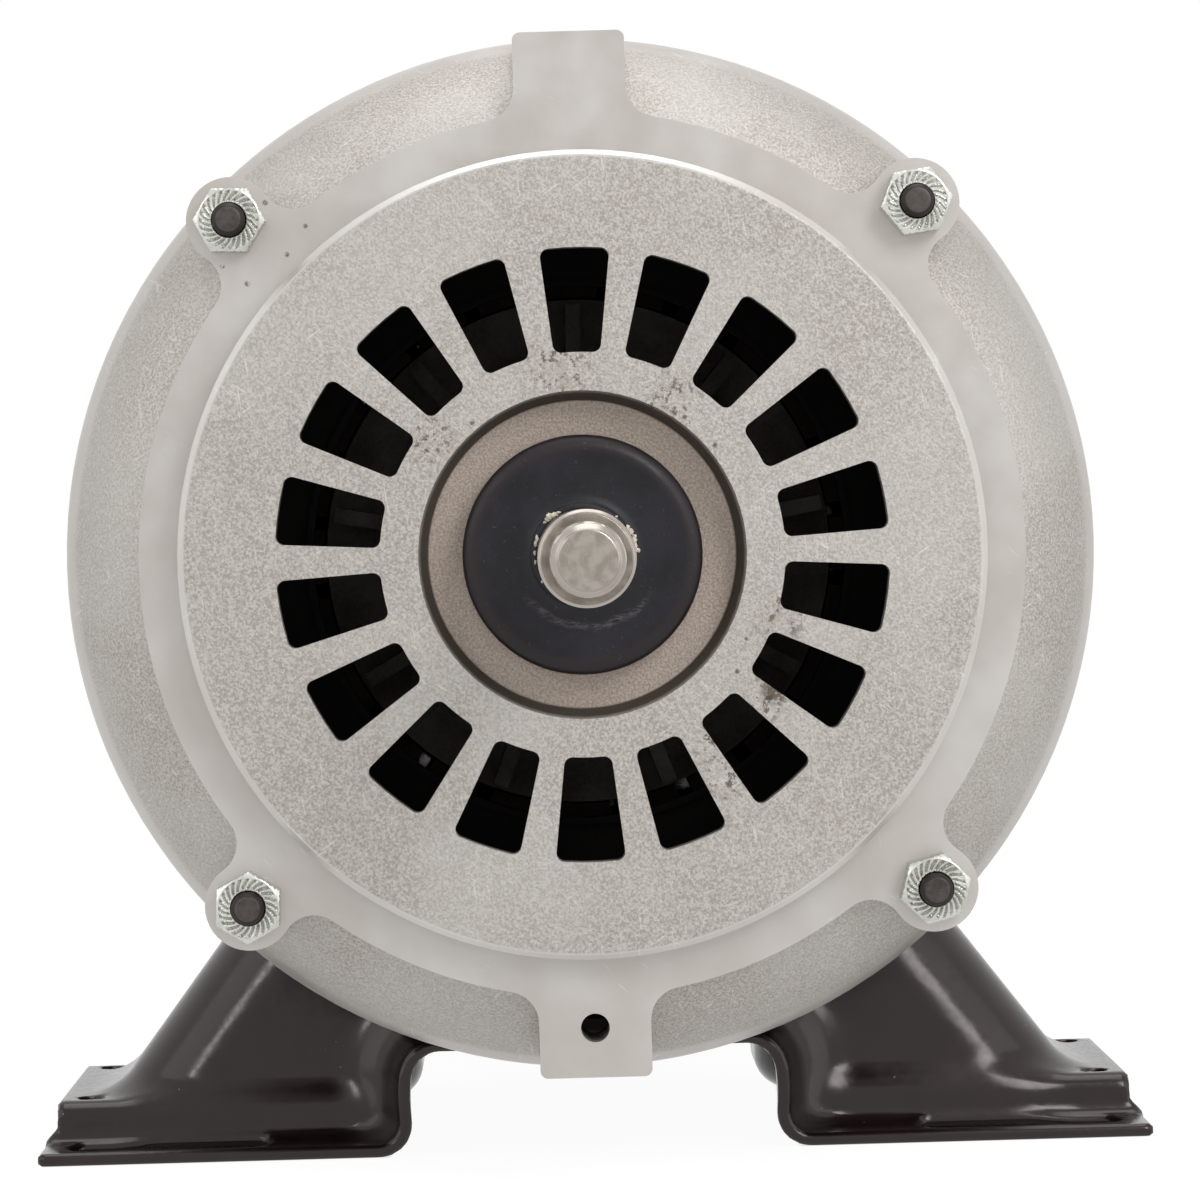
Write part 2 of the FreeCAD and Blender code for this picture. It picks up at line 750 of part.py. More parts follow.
def slinger():
    """Rubber disc on the shaft that throws water off before it reaches the bearing."""
    subpart("slinger", turned("slinger_disc", [
        ("slinger_seat_r", "slinger_front"),
        ("slinger_r - slinger_bevel", "slinger_front"),
        ("slinger_r", "slinger_front + slinger_bevel"),
        ("slinger_r", "slinger_back - 0.5"),
        ("slinger_r - 0.5", "slinger_back"),
        ("slinger_seat_r", "slinger_back"),
    ]))


def stator():
    """Laminated core with notches for the bolts, and two windings in its slots."""
    disc = turned("stator_disc", [
        ("bore_r", "core_start"),
        ("spigot_r", "core_start"),
        ("spigot_r", "core_end"),
        ("bore_r", "core_end"),
    ])
    notch = rod("core_notch", "y", "bolt_notch_r", "core_length + 2",
                ("bolt_square / 2", "core_start - 1", "bolt_square / 2"))
    slot = block("core_slot", ("-slot_width / 2", "core_start - 1", "slot_in_r"),
                 ("slot_width / 2", "core_end + 1", "slot_out_r"))
    mouth = block("core_mouth", ("-slot_mouth / 2", "core_start - 1", "bore_r - 1"),
                  ("slot_mouth / 2", "core_end + 1", "slot_in_r + 1"))
    count = int(size("slot_count"))
    first = 180.0 / count
    slots = around("core_slots", fuse("core_slot_open", slot, mouth), count, first)
    subpart("stator_core", cut("stator_cut", disc, slots, around("core_notches", notch, 4)))
    for label, low, high, ring_low, ring_high, reach in (
            ("start_winding", "winding_in_r", "winding_split_r - light_gap", "winding_in_r - 1",
             "winding_split_r - light_gap", "winding_reach - 3"),
            ("main_winding", "winding_split_r", "slot_out_r - light_gap", "winding_split_r",
             "winding_out_r", "winding_reach")):
        bar = block(label + "_bar", ("light_gap - slot_width / 2", "core_start - 1", low),
                    ("slot_width / 2 - light_gap", "core_end + 1", high))
        turns = []
        for side, near, far in (("front", "core_start - light_gap", "core_start - %s" % reach),
                                ("back", "core_end + light_gap", "core_end + %s" % reach)):
            ring = turned("%s_%s" % (label, side), [(ring_low, near), (ring_high, near), (ring_high, far),
                                                    (ring_low, far)][::1 if side == "back" else -1])
            soft = "min(winding_soft; (%s - (%s)) * winding_soft_share)" % (ring_high, ring_low)
            turns.append(rounded("%s_%s_soft" % (label, side), ring, soft, lambda edge: True))
        subpart(label, fuse(label + "_whole", around(label + "_bars", bar, count, first), *turns))


def rotor():
    """Laminated rotor core and the cast cage with its end rings, bars and fan blades."""
    disc = turned("rotor_disc", [
        ("core_seat_r", "core_start"),
        ("rotor_r", "core_start"),
        ("rotor_r", "core_end"),
        ("core_seat_r", "core_end"),
    ])
    bars = int(size("cage_bar_count"))
    spot = ("0", "core_start - 1", "cage_bar_circle_r")
    hole = rod("cage_hole", "y", "cage_bar_r + fit_gap", "core_length + 2", spot)
    subpart("rotor_core", cut("rotor_core_cut", disc, around("cage_holes", hole, bars)))
    bar = rod("cage_bar", "y", "cage_bar_r", "core_length + 2", spot)
    pieces = [around("cage_bars", bar, bars)]
    for side, near, way in (("front", "core_start", "-"), ("back", "core_end", "+")):
        far = "%s %s end_ring_height" % (near, way)
        tip = "%s %s blade_height" % (far, way)
        pieces.append(turned("end_ring_" + side, [
            ("end_ring_in_r", near),
            ("rotor_r - light_gap", near),
            ("rotor_r - light_gap", far),
            ("end_ring_in_r", far),
        ][::1 if side == "back" else -1]))
        low, high = (tip, far + " + 1") if side == "front" else (far + " - 1", tip)
        blade = block("blade_" + side, ("-blade_wall / 2", low, "blade_in_r"),
                      ("blade_wall / 2", high, "blade_out_r"))
        pieces.append(around("blades_" + side, blade, int(size("blade_count"))))
    subpart("rotor_cage", fuse("cage_whole", *pieces))


def air_baffle():
    """Moulded ring that turns the air stream into the fan blades at the drive end."""
    start = "rim_back + spigot_length"
    plate = turned("baffle_plate", [
        ("spigot_r - baffle_wall", start),
        ("spigot_r", start),
        ("spigot_r", start + " + baffle_depth"),
        ("baffle_in_r", start + " + baffle_depth"),
        ("baffle_in_r", start + " + baffle_depth - baffle_lip"),
        ("baffle_in_r + baffle_wall", start + " + baffle_depth - baffle_lip"),
        ("baffle_in_r + baffle_wall", start + " + baffle_depth - baffle_wall"),
        ("spigot_r - baffle_wall", start + " + baffle_depth - baffle_wall"),
    ])
    notch = rod("baffle_notch", "y", "bolt_notch_r", "baffle_depth + 2",
                ("bolt_square / 2", start + " - 1", "bolt_square / 2"))
    subpart("air_baffle", cut("baffle_cut", plate, around("baffle_notches", notch, 4)))


def screw(name, x, seat, z, bite):
    """A pan head screw along Y, its head on the far side of the seat."""
    pan = rod(name + "_pan", "y", "screw_head_r", "screw_head_height", (x, seat, z))
    head = rounded(name + "_head", pan, "screw_head_height / 3",
                   lambda edge: edge.CenterOfMass.y > size(seat) + 1)
    slot = block(name + "_slot", (x + " - screw_head_r", seat + " + screw_head_height - 0.9", z + " - 0.5"),
                 (x + " + screw_head_r", seat + " + screw_head_height + 1", z + " + 0.5"))
    shank = rod(name + "_shank", "y", "screw_r", "%s + 1" % bite, (x, "%s - (%s)" % (seat, bite), z))
    return fuse(name, cut(name + "_slotted", head, slot), shank)


def screw_hole(name, x, seat, z, bite):
    """The hole that a screw leaves below its seat."""
    return rod(name, "y", "screw_r + fit_gap", "%s + 2" % bite, (x, "%s - (%s) - 1" % (seat, bite), z))


BOARD_SCREWS = (("board_in_x + 5", "-board_mid"), ("board_out_x - 5", "-board_mid"))
SWITCH_SCREWS = (("4 - switch_out_x", "5"), ("4 - switch_out_x", "-5"))


def rear_end_bell():
    """Cast rear end bell: web with vents, bearing hub, bolt seats, posts and bosses."""
    casting = turned("rear_casting", [
        ("spigot_in_r", "shell_back - spigot_length"),
        ("spigot_r", "shell_back - spigot_length"),
        ("spigot_r", "shell_back"),
        ("rear_rim_r", "shell_back"),
        ("rear_rim_r", "rear_rim_end"),
        ("cover_in_r - fit_gap", "rear_rim_end"),
        ("cover_in_r - fit_gap", "rear_seat"),
        ("rear_seat_in_r", "rear_seat"),
        ("rear_seat_in_r - 2", "web_back"),
        ("rear_brg_r + rear_hub_wall", "web_back"),
        ("rear_brg_r + rear_hub_wall", "rear_hub_end"),
        ("rear_bore_r", "rear_hub_end"),
        ("rear_bore_r", "rear_floor"),
        ("rear_brg_r", "rear_floor"),
        ("rear_brg_r", "rear_brg_start - 1"),
        ("rear_brg_r + rear_hub_wall", "rear_brg_start - 1"),
        ("rear_brg_r + rear_hub_wall", "web_front"),
        ("rear_seat_in_r", "web_front"),
        ("spigot_in_r", "web_front + 1"),
    ])
    vent = sector("rear_vent", "rear_vent_in_r", "rear_vent_out_r", "rear_vent_angle", "vent_corner",
                  "web_front - 1", "web_wall + 2")
    web = cut("rear_web", casting, around("rear_vents", vent, int(size("rear_vent_count"))))
    base = "web_front + 1"
    post = rod("cover_post", "y", "post_r", "post_end - web_front - 1", ("post_spread", base, "post_z"))
    clip_boss = rod("clip_boss", "y", "post_r", "clip_seat - web_front - 1", ("0", base, "clip_screw_z"))
    ground_boss = rod("ground_boss", "y", "post_r", "ground_seat - web_front - 1",
                      ("-ground_x", base, "-ground_x"))
    board_bosses = []
    for number, (x, z) in enumerate(BOARD_SCREWS, 1):
        board_bosses.append(rod("board_boss_%d" % number, "y", "post_r - 1",
                                "board_front - web_front - 1", (x, base, z)))
    switch_boss = block("switch_boss", ("-switch_out_x", base, "1 - switch_half_width"),
                        ("-rear_brg_r - rear_hub_wall - 3", "switch_front", "switch_half_width - 1"))
    lug_pad = block("lug_pad", ("-rear_rim_r", "shell_back", "-lug_length / 2"),
                    ("3 - rear_rim_r", "rear_rim_end", "lug_length / 2"))
    whole = fuse("rear_whole", web, around("cover_posts", post, 2), clip_boss, ground_boss, switch_boss,
                 lug_pad, *board_bosses)
    hole = rod("rear_bolt_hole", "y", "bolt_hole_r", "rear_seat - shell_back + 2",
               ("bolt_square / 2", "shell_back - 1", "bolt_square / 2"))
    notch = rod("rear_notch", "y", "bolt_notch_r", "spigot_length + 1",
                ("bolt_square / 2", "shell_back - spigot_length - 1", "bolt_square / 2"))
    post_hole = screw_hole("post_hole", "post_spread", "post_end", "post_z", "screw_bite")
    holes = [
        around("rear_bolt_holes", hole, 4),
        around("rear_notches", notch, 4),
        around("post_holes", post_hole, 2),
        screw_hole("clip_hole", "0", "clip_seat", "clip_screw_z", "screw_bite - 2"),
        screw_hole("ground_hole", "-ground_x", "ground_seat", "-ground_x", "screw_bite - 6"),
    ]
    for number, (x, z) in enumerate(BOARD_SCREWS, 1):
        holes.append(screw_hole("board_hole_%d" % number, x, "board_front", z, "screw_bite - 3"))
    for number, (x, z) in enumerate(SWITCH_SCREWS, 1):
        holes.append(screw_hole("switch_hole_%d" % number, x, "switch_front", z, "screw_bite - 3"))
    subpart("rear_end_bell", cut("rear_cut", whole, *holes))
    subpart("ground_screw", screw("ground_screw_body", "-ground_x", "ground_seat", "-ground_x",
                                  "screw_bite - 6"))


def rear_cover():
    """Drawn steel cup over the rear compartment, with air slots, screws and the conduit plug."""
    cup = turned("cover_cup", [
        ("cover_in_r", "rear_rim_end"),
        ("rear_rim_r", "rear_rim_end"),
        ("rear_rim_r", "cover_end - cover_corner_r"),
        ("rear_rim_r - cover_corner_r", "cover_end", "cover_corner_r"),
        ("0", "cover_end"),
        ("0", "cover_end - cover_wall"),
        ("rear_rim_r - cover_corner_r", "cover_end - cover_wall"),
        ("cover_in_r", "cover_end - cover_corner_r", "cover_wall - cover_corner_r"),
    ])
    bar = block("cover_slot_block", ("-cover_slot_length / 2", "cover_end - 3", "-cover_slot_width / 2"),
                ("cover_slot_length / 2", "cover_end + 1", "cover_slot_width / 2"))
    slot = rounded("cover_slot", bar, "cover_slot_width * cover_slot_ease", lambda edge: straight(edge, "y"))
    count = int(size("cover_slot_count"))
    rows = [("0", "0", "cover_slot_pitch * %s" % (number - (count - 1) / 2)) for number in range(count)]
    hole = rod("cover_screw_hole", "y", "screw_r + light_gap", "4",
               ("post_spread", "cover_end - 3", "post_z"))
    conduit = rod("conduit_hole", "x", "plug_r + fit_gap", "8",
                  ("rear_rim_r - 5", "rear_rim_end + plug_rise", "0"))
    slots = moved("cover_slots", slot, *rows)
    subpart("rear_cover", cut("cover_cut", cup, slots, around("cover_holes", hole, 2), conduit))
    bolt = screw("cover_screw", "post_spread", "cover_end", "post_z", "screw_bite")
    subpart("cover_screws", around("cover_screw_pair", bolt, 2))
    stem = rod("plug_stem", "x", "plug_r", "plug_depth + cover_wall + plug_wall",
               ("cover_in_r - plug_depth", "rear_rim_end + plug_rise", "0"))
    flange = rounded("plug_flange", rod("plug_disc", "x", "plug_flange_r", "plug_wall",
                                        ("rear_rim_r + fit_gap", "rear_rim_end + plug_rise", "0")),
                     "plug_wall / 3", lambda edge: edge.CenterOfMass.x > size("rear_rim_r") + 1)
    hollow = rod("plug_hollow", "x", "plug_r - plug_wall", "plug_depth",
                 ("cover_in_r - plug_depth - 1", "rear_rim_end + plug_rise", "0"))
    subpart("conduit_plug", cut("plug_cut", fuse("plug_whole", stem, flange), hollow))


def bonding_lug():
    """Copper lug for the bonding wire, with its clamp screw, on a pad of the rear rim."""
    x, y = "-rear_rim_r - lug_height", "shell_back + rear_rim_width / 2"
    body = block("lug_block", (x, y + " - lug_width / 2", "-lug_length / 2"),
                 ("-rear_rim_r", y + " + lug_width / 2", "lug_length / 2"))
    wire = rod("lug_wire_hole", "z", "lug_wire_r", "lug_length + 2",
               ("-rear_rim_r - lug_height / 2", y, "-lug_length / 2 - 1"))
    tap = rod("lug_tap", "x", "screw_r + fit_gap", "lug_height / 2 + 1", (x + " - 1", y, "0"))
    subpart("bonding_lug", cut("lug_cut", body, wire, tap))
    shank = rod("lug_screw_shank", "x", "screw_r", "lug_height / 2 - lug_wire_r + 1", (x + " - 1", y, "0"))
    head = rod("lug_screw_head", "x", "screw_r + 0.8", "2", (x + " - 2", y, "0"))
    slot = block("lug_screw_slot", (x + " - 3", y + " - 3.5", "-0.5"), (x + " - 1.2", y + " + 3.5", "0.5"))
    subpart("bonding_screw", cut("lug_screw_cut", fuse("lug_screw_whole", shank, head), slot))


def governor():
    """Centrifugal governor on the shaft tail: plate, pins, two weights, collar, spring and ring."""
    hub = turned("governor_hub", [
        ("shaft_r", "governor_front - governor_hub_length"),
        ("governor_hub_r", "governor_front - governor_hub_length"),
        ("governor_hub_r", "governor_face"),
        ("shaft_r", "governor_face"),
    ])
    ear_out = "governor_half_width + governor_gap + governor_ear_wall"
    strap = block("governor_strap", ("-governor_reach", "governor_front", "-(%s)" % ear_out),
                  ("governor_reach", "governor_face", ear_out))
    bore = rod("governor_bore", "y", "shaft_r", "governor_plate_wall + 2", ("0", "governor_front - 1", "0"))
    ears = block("governor_ears", ("pivot_spread - 2", "governor_front", "-(%s)" % ear_out),
                 ("pivot_spread + 2", "pivot_y + 2", ear_out))
    room = block("governor_room",
                 ("pivot_spread - 3", "governor_face", "-governor_half_width - governor_gap"),
                 ("pivot_spread + 3", "pivot_y + 3", "governor_half_width + governor_gap"))
    eye = rod("governor_eye", "z", "pivot_r + fit_gap", "2 * (%s) + 2" % ear_out,
              ("pivot_spread", "pivot_y", "-(%s) - 1" % ear_out))
    fork = cut("governor_fork", ears, room, eye)
    plate = cut("governor_strap_cut", strap, bore)
    subpart("governor_plate", fuse("governor_plate_whole", hub, plate, around("governor_forks", fork, 2)))
    pin = rod("governor_pin", "z", "pivot_r", "2 * (%s)" % ear_out,
              ("pivot_spread", "pivot_y", "-(%s)" % ear_out))
    subpart("governor_pins", around("governor_pin_pair", pin, 2))
    leg = block("weight_leg_block", ("collar_flange_r + 0.9", "pivot_y - 1.7", "-governor_half_width"),
                ("pivot_spread + 2", "pivot_y + weight_leg", "governor_half_width"))
    finger = block("weight_finger", ("collar_r + light_gap", "pivot_y - 1.7", "-governor_half_width"),
                   ("pivot_spread", "collar_front - light_gap", "governor_half_width"))
    barrel = rod("weight_barrel", "z", "pivot_r + 1", "2 * governor_half_width",
                 ("pivot_spread", "pivot_y", "-governor_half_width"))
    hole = rod("weight_hole", "z", "pivot_r + fit_gap", "2 * governor_half_width + 2",
               ("pivot_spread", "pivot_y", "-governor_half_width - 1"))
    weight = cut("weight", fuse("weight_whole", leg, finger, barrel), hole)
    subpart("governor_weight_a", around("weight_a", weight, 1))
    subpart("governor_weight_b", around("weight_b", weight, 1, 180.0))
    subpart("governor_collar", turned("collar", [
        ("shaft_r + fit_gap", "collar_front"),
        ("collar_flange_r", "collar_front"),
        ("collar_flange_r", "collar_front + collar_flange_wall"),
        ("collar_r", "collar_front + collar_flange_wall"),
        ("collar_r", "collar_end - collar_flange_wall"),
        ("collar_flange_r", "collar_end - collar_flange_wall"),
        ("collar_flange_r", "collar_end"),
        ("shaft_r + fit_gap", "collar_end"),
    ]))
    subpart("governor_retainer", turned("retainer", [
        ("shaft_r - 0.7", "retainer_start"),
        ("spring_r + 1", "retainer_start"),
        ("spring_r + 1", "retainer_start + retainer_wall"),
        ("shaft_r - 0.7", "retainer_start + retainer_wall"),
    ]))


def governor_spring():
    """Coil spring between the collar and the retaining ring."""
    wire = size("spring_wire_r")
    low = size("collar_end") + wire + size("fit_gap")
    high = size("retainer_start") - wire - size("fit_gap")
    turns = size("spring_turns")
    path = Part.Wire(Part.makeHelix((high - low) / turns, high - low, size("spring_r")))
    ring = Part.Wire(Part.Circle(Vector(size("spring_r"), 0, 0), AXIS["y"], wire).toShape())
    spring = doc.addObject("Part::Feature", "spring")
    spring.Shape = path.makePipeShell([ring], True, True)
    spring.Placement = Placement(Vector(0, low, 0), TURN["y"])
    subpart("governor_spring", spring)


def stationary_switch():
    """Start switch: base on the rear bell, arm on its pin, fixed contact and screws."""
    base = block("switch_body", ("8 - switch_out_x", "switch_front", "-switch_half_width"),
                 ("-switch_in_x", "switch_top", "switch_half_width"))
    flange = block("switch_flange", ("-switch_out_x", "switch_front", "-switch_half_width"),
                   ("9 - switch_out_x", "switch_front + 4", "switch_half_width"))
    ear_low = "arm_half_width + light_gap"
    ears = block("switch_ears", ("-arm_pivot_x - 2", "switch_top - 1", "-(%s) - 1.5" % ear_low),
                 ("2 - arm_pivot_x", "arm_y + 2", ear_low + " + 1.5"))
    room = block("switch_room", ("-arm_pivot_x - 3", "switch_top", "-(%s)" % ear_low),
                 ("3 - arm_pivot_x", "arm_y + 3", ear_low))
    eye = rod("switch_eye", "z", "pivot_r + fit_gap", "2 * (%s) + 5" % ear_low,
              ("-arm_pivot_x", "arm_y", "-(%s) - 2.5" % ear_low))
    holes = [screw_hole("switch_base_hole_%d" % number, x, "switch_front + 4", z, "screw_bite - 3")
             for number, (x, z) in enumerate(SWITCH_SCREWS, 1)]
    whole = fuse("switch_base_whole", base, flange, cut("switch_fork", ears, room))
    subpart("switch_base", cut("switch_base_cut", whole, eye, *holes))
    screws = [screw("switch_screw_%d" % number, x, "switch_front + 4", z, "screw_bite")
              for number, (x, z) in enumerate(SWITCH_SCREWS, 1)]
    subpart("switch_screws", group("switch_screw_pair", *screws))
    subpart("switch_pin", rod("switch_pivot", "z", "pivot_r", "2 * (%s) + 3" % ear_low,
                              ("-arm_pivot_x", "arm_y", "-(%s) - 1.5" % ear_low)))
    blade = block("arm_blade", ("-arm_pivot_x", "arm_front", "-arm_half_width"),
                  ("-arm_reach_x", "arm_front + arm_wall", "arm_half_width"))
    barrel = rod("arm_barrel", "z", "pivot_r + 0.8", "2 * arm_half_width",
                 ("-arm_pivot_x", "arm_y", "-arm_half_width"))
    button = rod("arm_contact", "y", "contact_r", "contact_height + arm_wall / 2",
                 ("-contact_x", "arm_front - contact_height", "0"))
    hole = rod("arm_hole", "z", "pivot_r + fit_gap", "2 * arm_half_width + 2",
               ("-arm_pivot_x", "arm_y", "-arm_half_width - 1"))
    subpart("switch_arm", cut("arm_cut", fuse("arm_whole", blade, barrel, button), hole))
    fixed = rod("fixed_contact", "y", "contact_r", "contact_height", ("-contact_x", "switch_top", "0"))
    subpart("switch_contact", fixed)


def terminal_board():
    """Moulded board with blade terminals, on two bosses of the rear bell."""
    plate = rounded("board_plate", block("board_block", ("board_in_x", "board_front", "-board_low"),
                                         ("board_out_x", "board_front + board_wall", "-board_high")),
                    "2", lambda edge: straight(edge, "y"))
    holes = [screw_hole("board_through_%d" % number, x, "board_front + board_wall", z, "screw_bite - 3")
             for number, (x, z) in enumerate(BOARD_SCREWS, 1)]
    subpart("terminal_board", cut("board_cut", plate, *holes))
    screws = [screw("board_screw_%d" % number, x, "board_front + board_wall", z, "screw_bite - 1")
              for number, (x, z) in enumerate(BOARD_SCREWS, 1)]
    subpart("board_screws", group("board_screw_pair", *screws))
    seat = "board_front + board_wall"
    blade = block("board_blade", ("-blade_tab_width / 2", seat, "-blade_tab_wall / 2"),
                  ("blade_tab_width / 2", seat + " + blade_tab_height", "blade_tab_wall / 2"))
    spots = [("board_in_x + board_margin + 1 + %d * board_pitch" % step, "0", z) for step in range(3)
             for z in ("board_margin - board_low", "-board_high - board_margin")][:5]
    subpart("board_terminals", moved("board_blades", blade, *spots))


# Each blade's place on the protector's face, as a share of its radius.
PROTECTOR_BLADES = ((0, 0.48), (-0.4, -0.24), (0.4, -0.24))


def overload_protector():
    """Disc thermostat in its moulded case, seated on the web, with three blades."""
    x, z = "-protector_shift", "-protector_drop"
    case = rod("protector_case", "y", "protector_r", "protector_height * 0.6", (x, "web_back", z))
    cap = rod("protector_cap", "y", "protector_r - 1.2", "protector_height", (x, "web_back", z))
    subpart("overload_protector", rounded("protector_soft", fuse("protector_whole", case, cap), "0.5",
                                          lambda edge: edge.CenterOfMass.y > size("web_back") + 1))
    seat = "web_back + protector_height"
    blade = block("protector_blade", ("-blade_tab_width / 2", seat, "-blade_tab_wall / 2"),
                  ("blade_tab_width / 2", seat + " + blade_tab_height", "blade_tab_wall / 2"))
    spots = [(x + " + %s * protector_r" % right, "0", z + " + %s * protector_r" % up)
             for right, up in PROTECTOR_BLADES]
    subpart("protector_terminals", moved("protector_blades", blade, *spots))


def capacitor():
    """Start capacitor lying across the compartment, in a clip with one screw."""
    can = rod("capacitor_body", "x", "cap_r", "cap_length", ("-cap_length / 2", "cap_y", "cap_height"))
    subpart("capacitor", rounded("capacitor_can", can, "1.5", lambda edge: not straight(edge, "x")))
    wide, thick = "blade_tab_width / 2", "blade_tab_wall / 2"
    blade = block("cap_blade", ("cap_length / 2", "cap_y - " + wide, "cap_height - " + thick),
                  ("cap_length / 2 + blade_tab_height", "cap_y + " + wide, "cap_height + " + thick))
    subpart("capacitor_terminals", moved("cap_blades", blade, ("0", "0", "-5"), ("0", "0", "5")))
    half = "clip_width / 2"
    band = rod("clip_band", "x", "cap_r + fit_gap + clip_wall", "clip_width",
               ("-(%s)" % half, "cap_y", "cap_height"))
    foot = block("clip_foot", ("-(%s)" % half, "clip_seat", "cap_height"),
                 (half, "clip_seat + clip_wall", "clip_screw_z + 4"))
    room = rod("clip_room", "x", "cap_r + fit_gap", "clip_width + 2",
               ("-(%s) - 1" % half, "cap_y", "cap_height"))
    hole = screw_hole("clip_foot_hole", "0", "clip_seat + clip_wall", "clip_screw_z", "2")
    subpart("capacitor_clip", cut("clip_cut", fuse("clip_whole", band, foot), room, hole))
    subpart("clip_screw", screw("clip_screw_body", "0", "clip_seat + clip_wall", "clip_screw_z",
                                "screw_bite - 3"))


NUT_TURNS = (((-1, 1), 2.0), ((1, 1), -8.0), ((-1, -1), 32.0), ((1, -1), 45.0))


def bolts_and_nuts():
    """Four through bolts with heads on the rear bell, and their nuts on the ears."""
    stem = turned("bolt_stem", [
        ("0", "-bolt_tip_reach"),
        ("bolt_r - bolt_tip_chamfer", "-bolt_tip_reach"),
        ("bolt_r", "-bolt_tip_reach + bolt_tip_chamfer"),
        ("bolt_r", "rear_seat + 1"),
        ("0", "rear_seat + 1"),
    ])
    head = hexagon("bolt_head", "bolt_head_flats", "bolt_head_height", ("0", "rear_seat", "0"))
    bolt = shift(fuse("bolt", stem, head), ("bolt_square / 2", "0", "bolt_square / 2"))
    subpart("thru_bolts", around("bolts", bolt, 4))
    nuts = []
    for number, ((right, up), angle) in enumerate(NUT_TURNS, 1):
        name = "nut_%d" % number
        prism = hexagon(name + "_prism", "nut_flats", "nut_height", ("0", "-nut_height", "0"), angle)
        ease = turned(name + "_ease", [
            ("bolt_r + fit_gap", "-nut_height"),
            ("nut_flats / 2", "-nut_height"),
            ("nut_flats / 2 / cos(30)", "-nut_height + nut_chamfer"),
            ("nut_flats / 2 / cos(30)", "0"),
            ("bolt_r + fit_gap", "0"),
        ])
        spot = ("%d * bolt_square / 2" % right, "0", "%d * bolt_square / 2" % up)
        nuts.append(shift(common(name, prism, ease), spot))
    subpart("thru_bolt_nuts", group("nuts", *nuts))


def hat(wall, low):
    """The profile under (wall 0) or over the sheet across the tunnel between the feet."""
    wide = "tunnel_half_width + %s" % wall
    top = "-shell_r - fit_gap - sheet_wall + %s" % wall
    flare = "tunnel_flare - %s" % wall
    corner = "tunnel_corner + %s" % wall
    foot_x = "tunnel_half_width + tunnel_flare"
    return [
        ("-(%s)" % foot_x, low),
        ("-(%s)" % foot_x, "foot_level + %s" % wall),
        ("-(%s)" % wide, "foot_level + tunnel_flare", flare),
        ("-(%s)" % wide, "%s - (%s)" % (top, corner)),
        ("%s - (%s)" % (corner, wide), top, "-(%s)" % corner),
        ("%s - (%s)" % (wide, corner), top),
        (wide, "%s - (%s)" % (top, corner), "-(%s)" % corner),
        (wide, "foot_level + tunnel_flare"),
        (foot_x, "foot_level + %s" % wall, flare),
        (foot_x, low),
    ]


def runs_down_leg(edge):
    """Whether an edge slants down the outer wall of a leg."""
    if len(edge.Vertexes) < 2:
        return False
    way = edge.Vertexes[1].Point - edge.Vertexes[0].Point
    return abs(way.y) < 0.01 and abs(way.x) > 1 and abs(way.z) > 1


def pressed_form(name, wall, extra):
    """What lies under the sheet (wall and extra both set) or under its outer face (both 0)."""
    low = "foot_level - (%s)" % extra
    side = "%s / cos(leg_angle)" % wall
    legs = slab(name + "_legs", [
        ("-leg_low_x + " + side, low),
        ("leg_low_x - " + side, low),
        ("leg_low_x - " + side, "foot_level + platform_height"),
        ("leg_high_x - " + side, "-leg_cut_drop"),
        ("-leg_high_x + " + side, "-leg_cut_drop"),
        ("-leg_low_x + " + side, "foot_level + platform_height"),
    ], "platform_front + leg_inset + " + wall, "platform_back - platform_front - 2 * (leg_inset + %s)" % wall)
    soft = rounded(name + "_legs_soft", legs, "leg_corner - " + wall, runs_down_leg)
    tunnel = slab(name + "_tunnel", hat("(sheet_wall - %s)" % wall, low), "base_front - (%s)" % extra,
                  "base_back - base_front + 2 * (%s)" % extra)
    shelves = []
    for label, near, far in (("left", "-platform_half_width - (%s)" % extra, "leg_lap - leg_low_x"),
                             ("right", "leg_low_x - leg_lap", "platform_half_width + %s" % extra)):
        shelves.append(block("%s_shelf_%s" % (name, label), (near, "platform_front + " + wall, low),
                             (far, "platform_back - " + wall, "foot_level + platform_height - " + wall)))
    return fuse(name + "_form", soft, tunnel, *shelves)


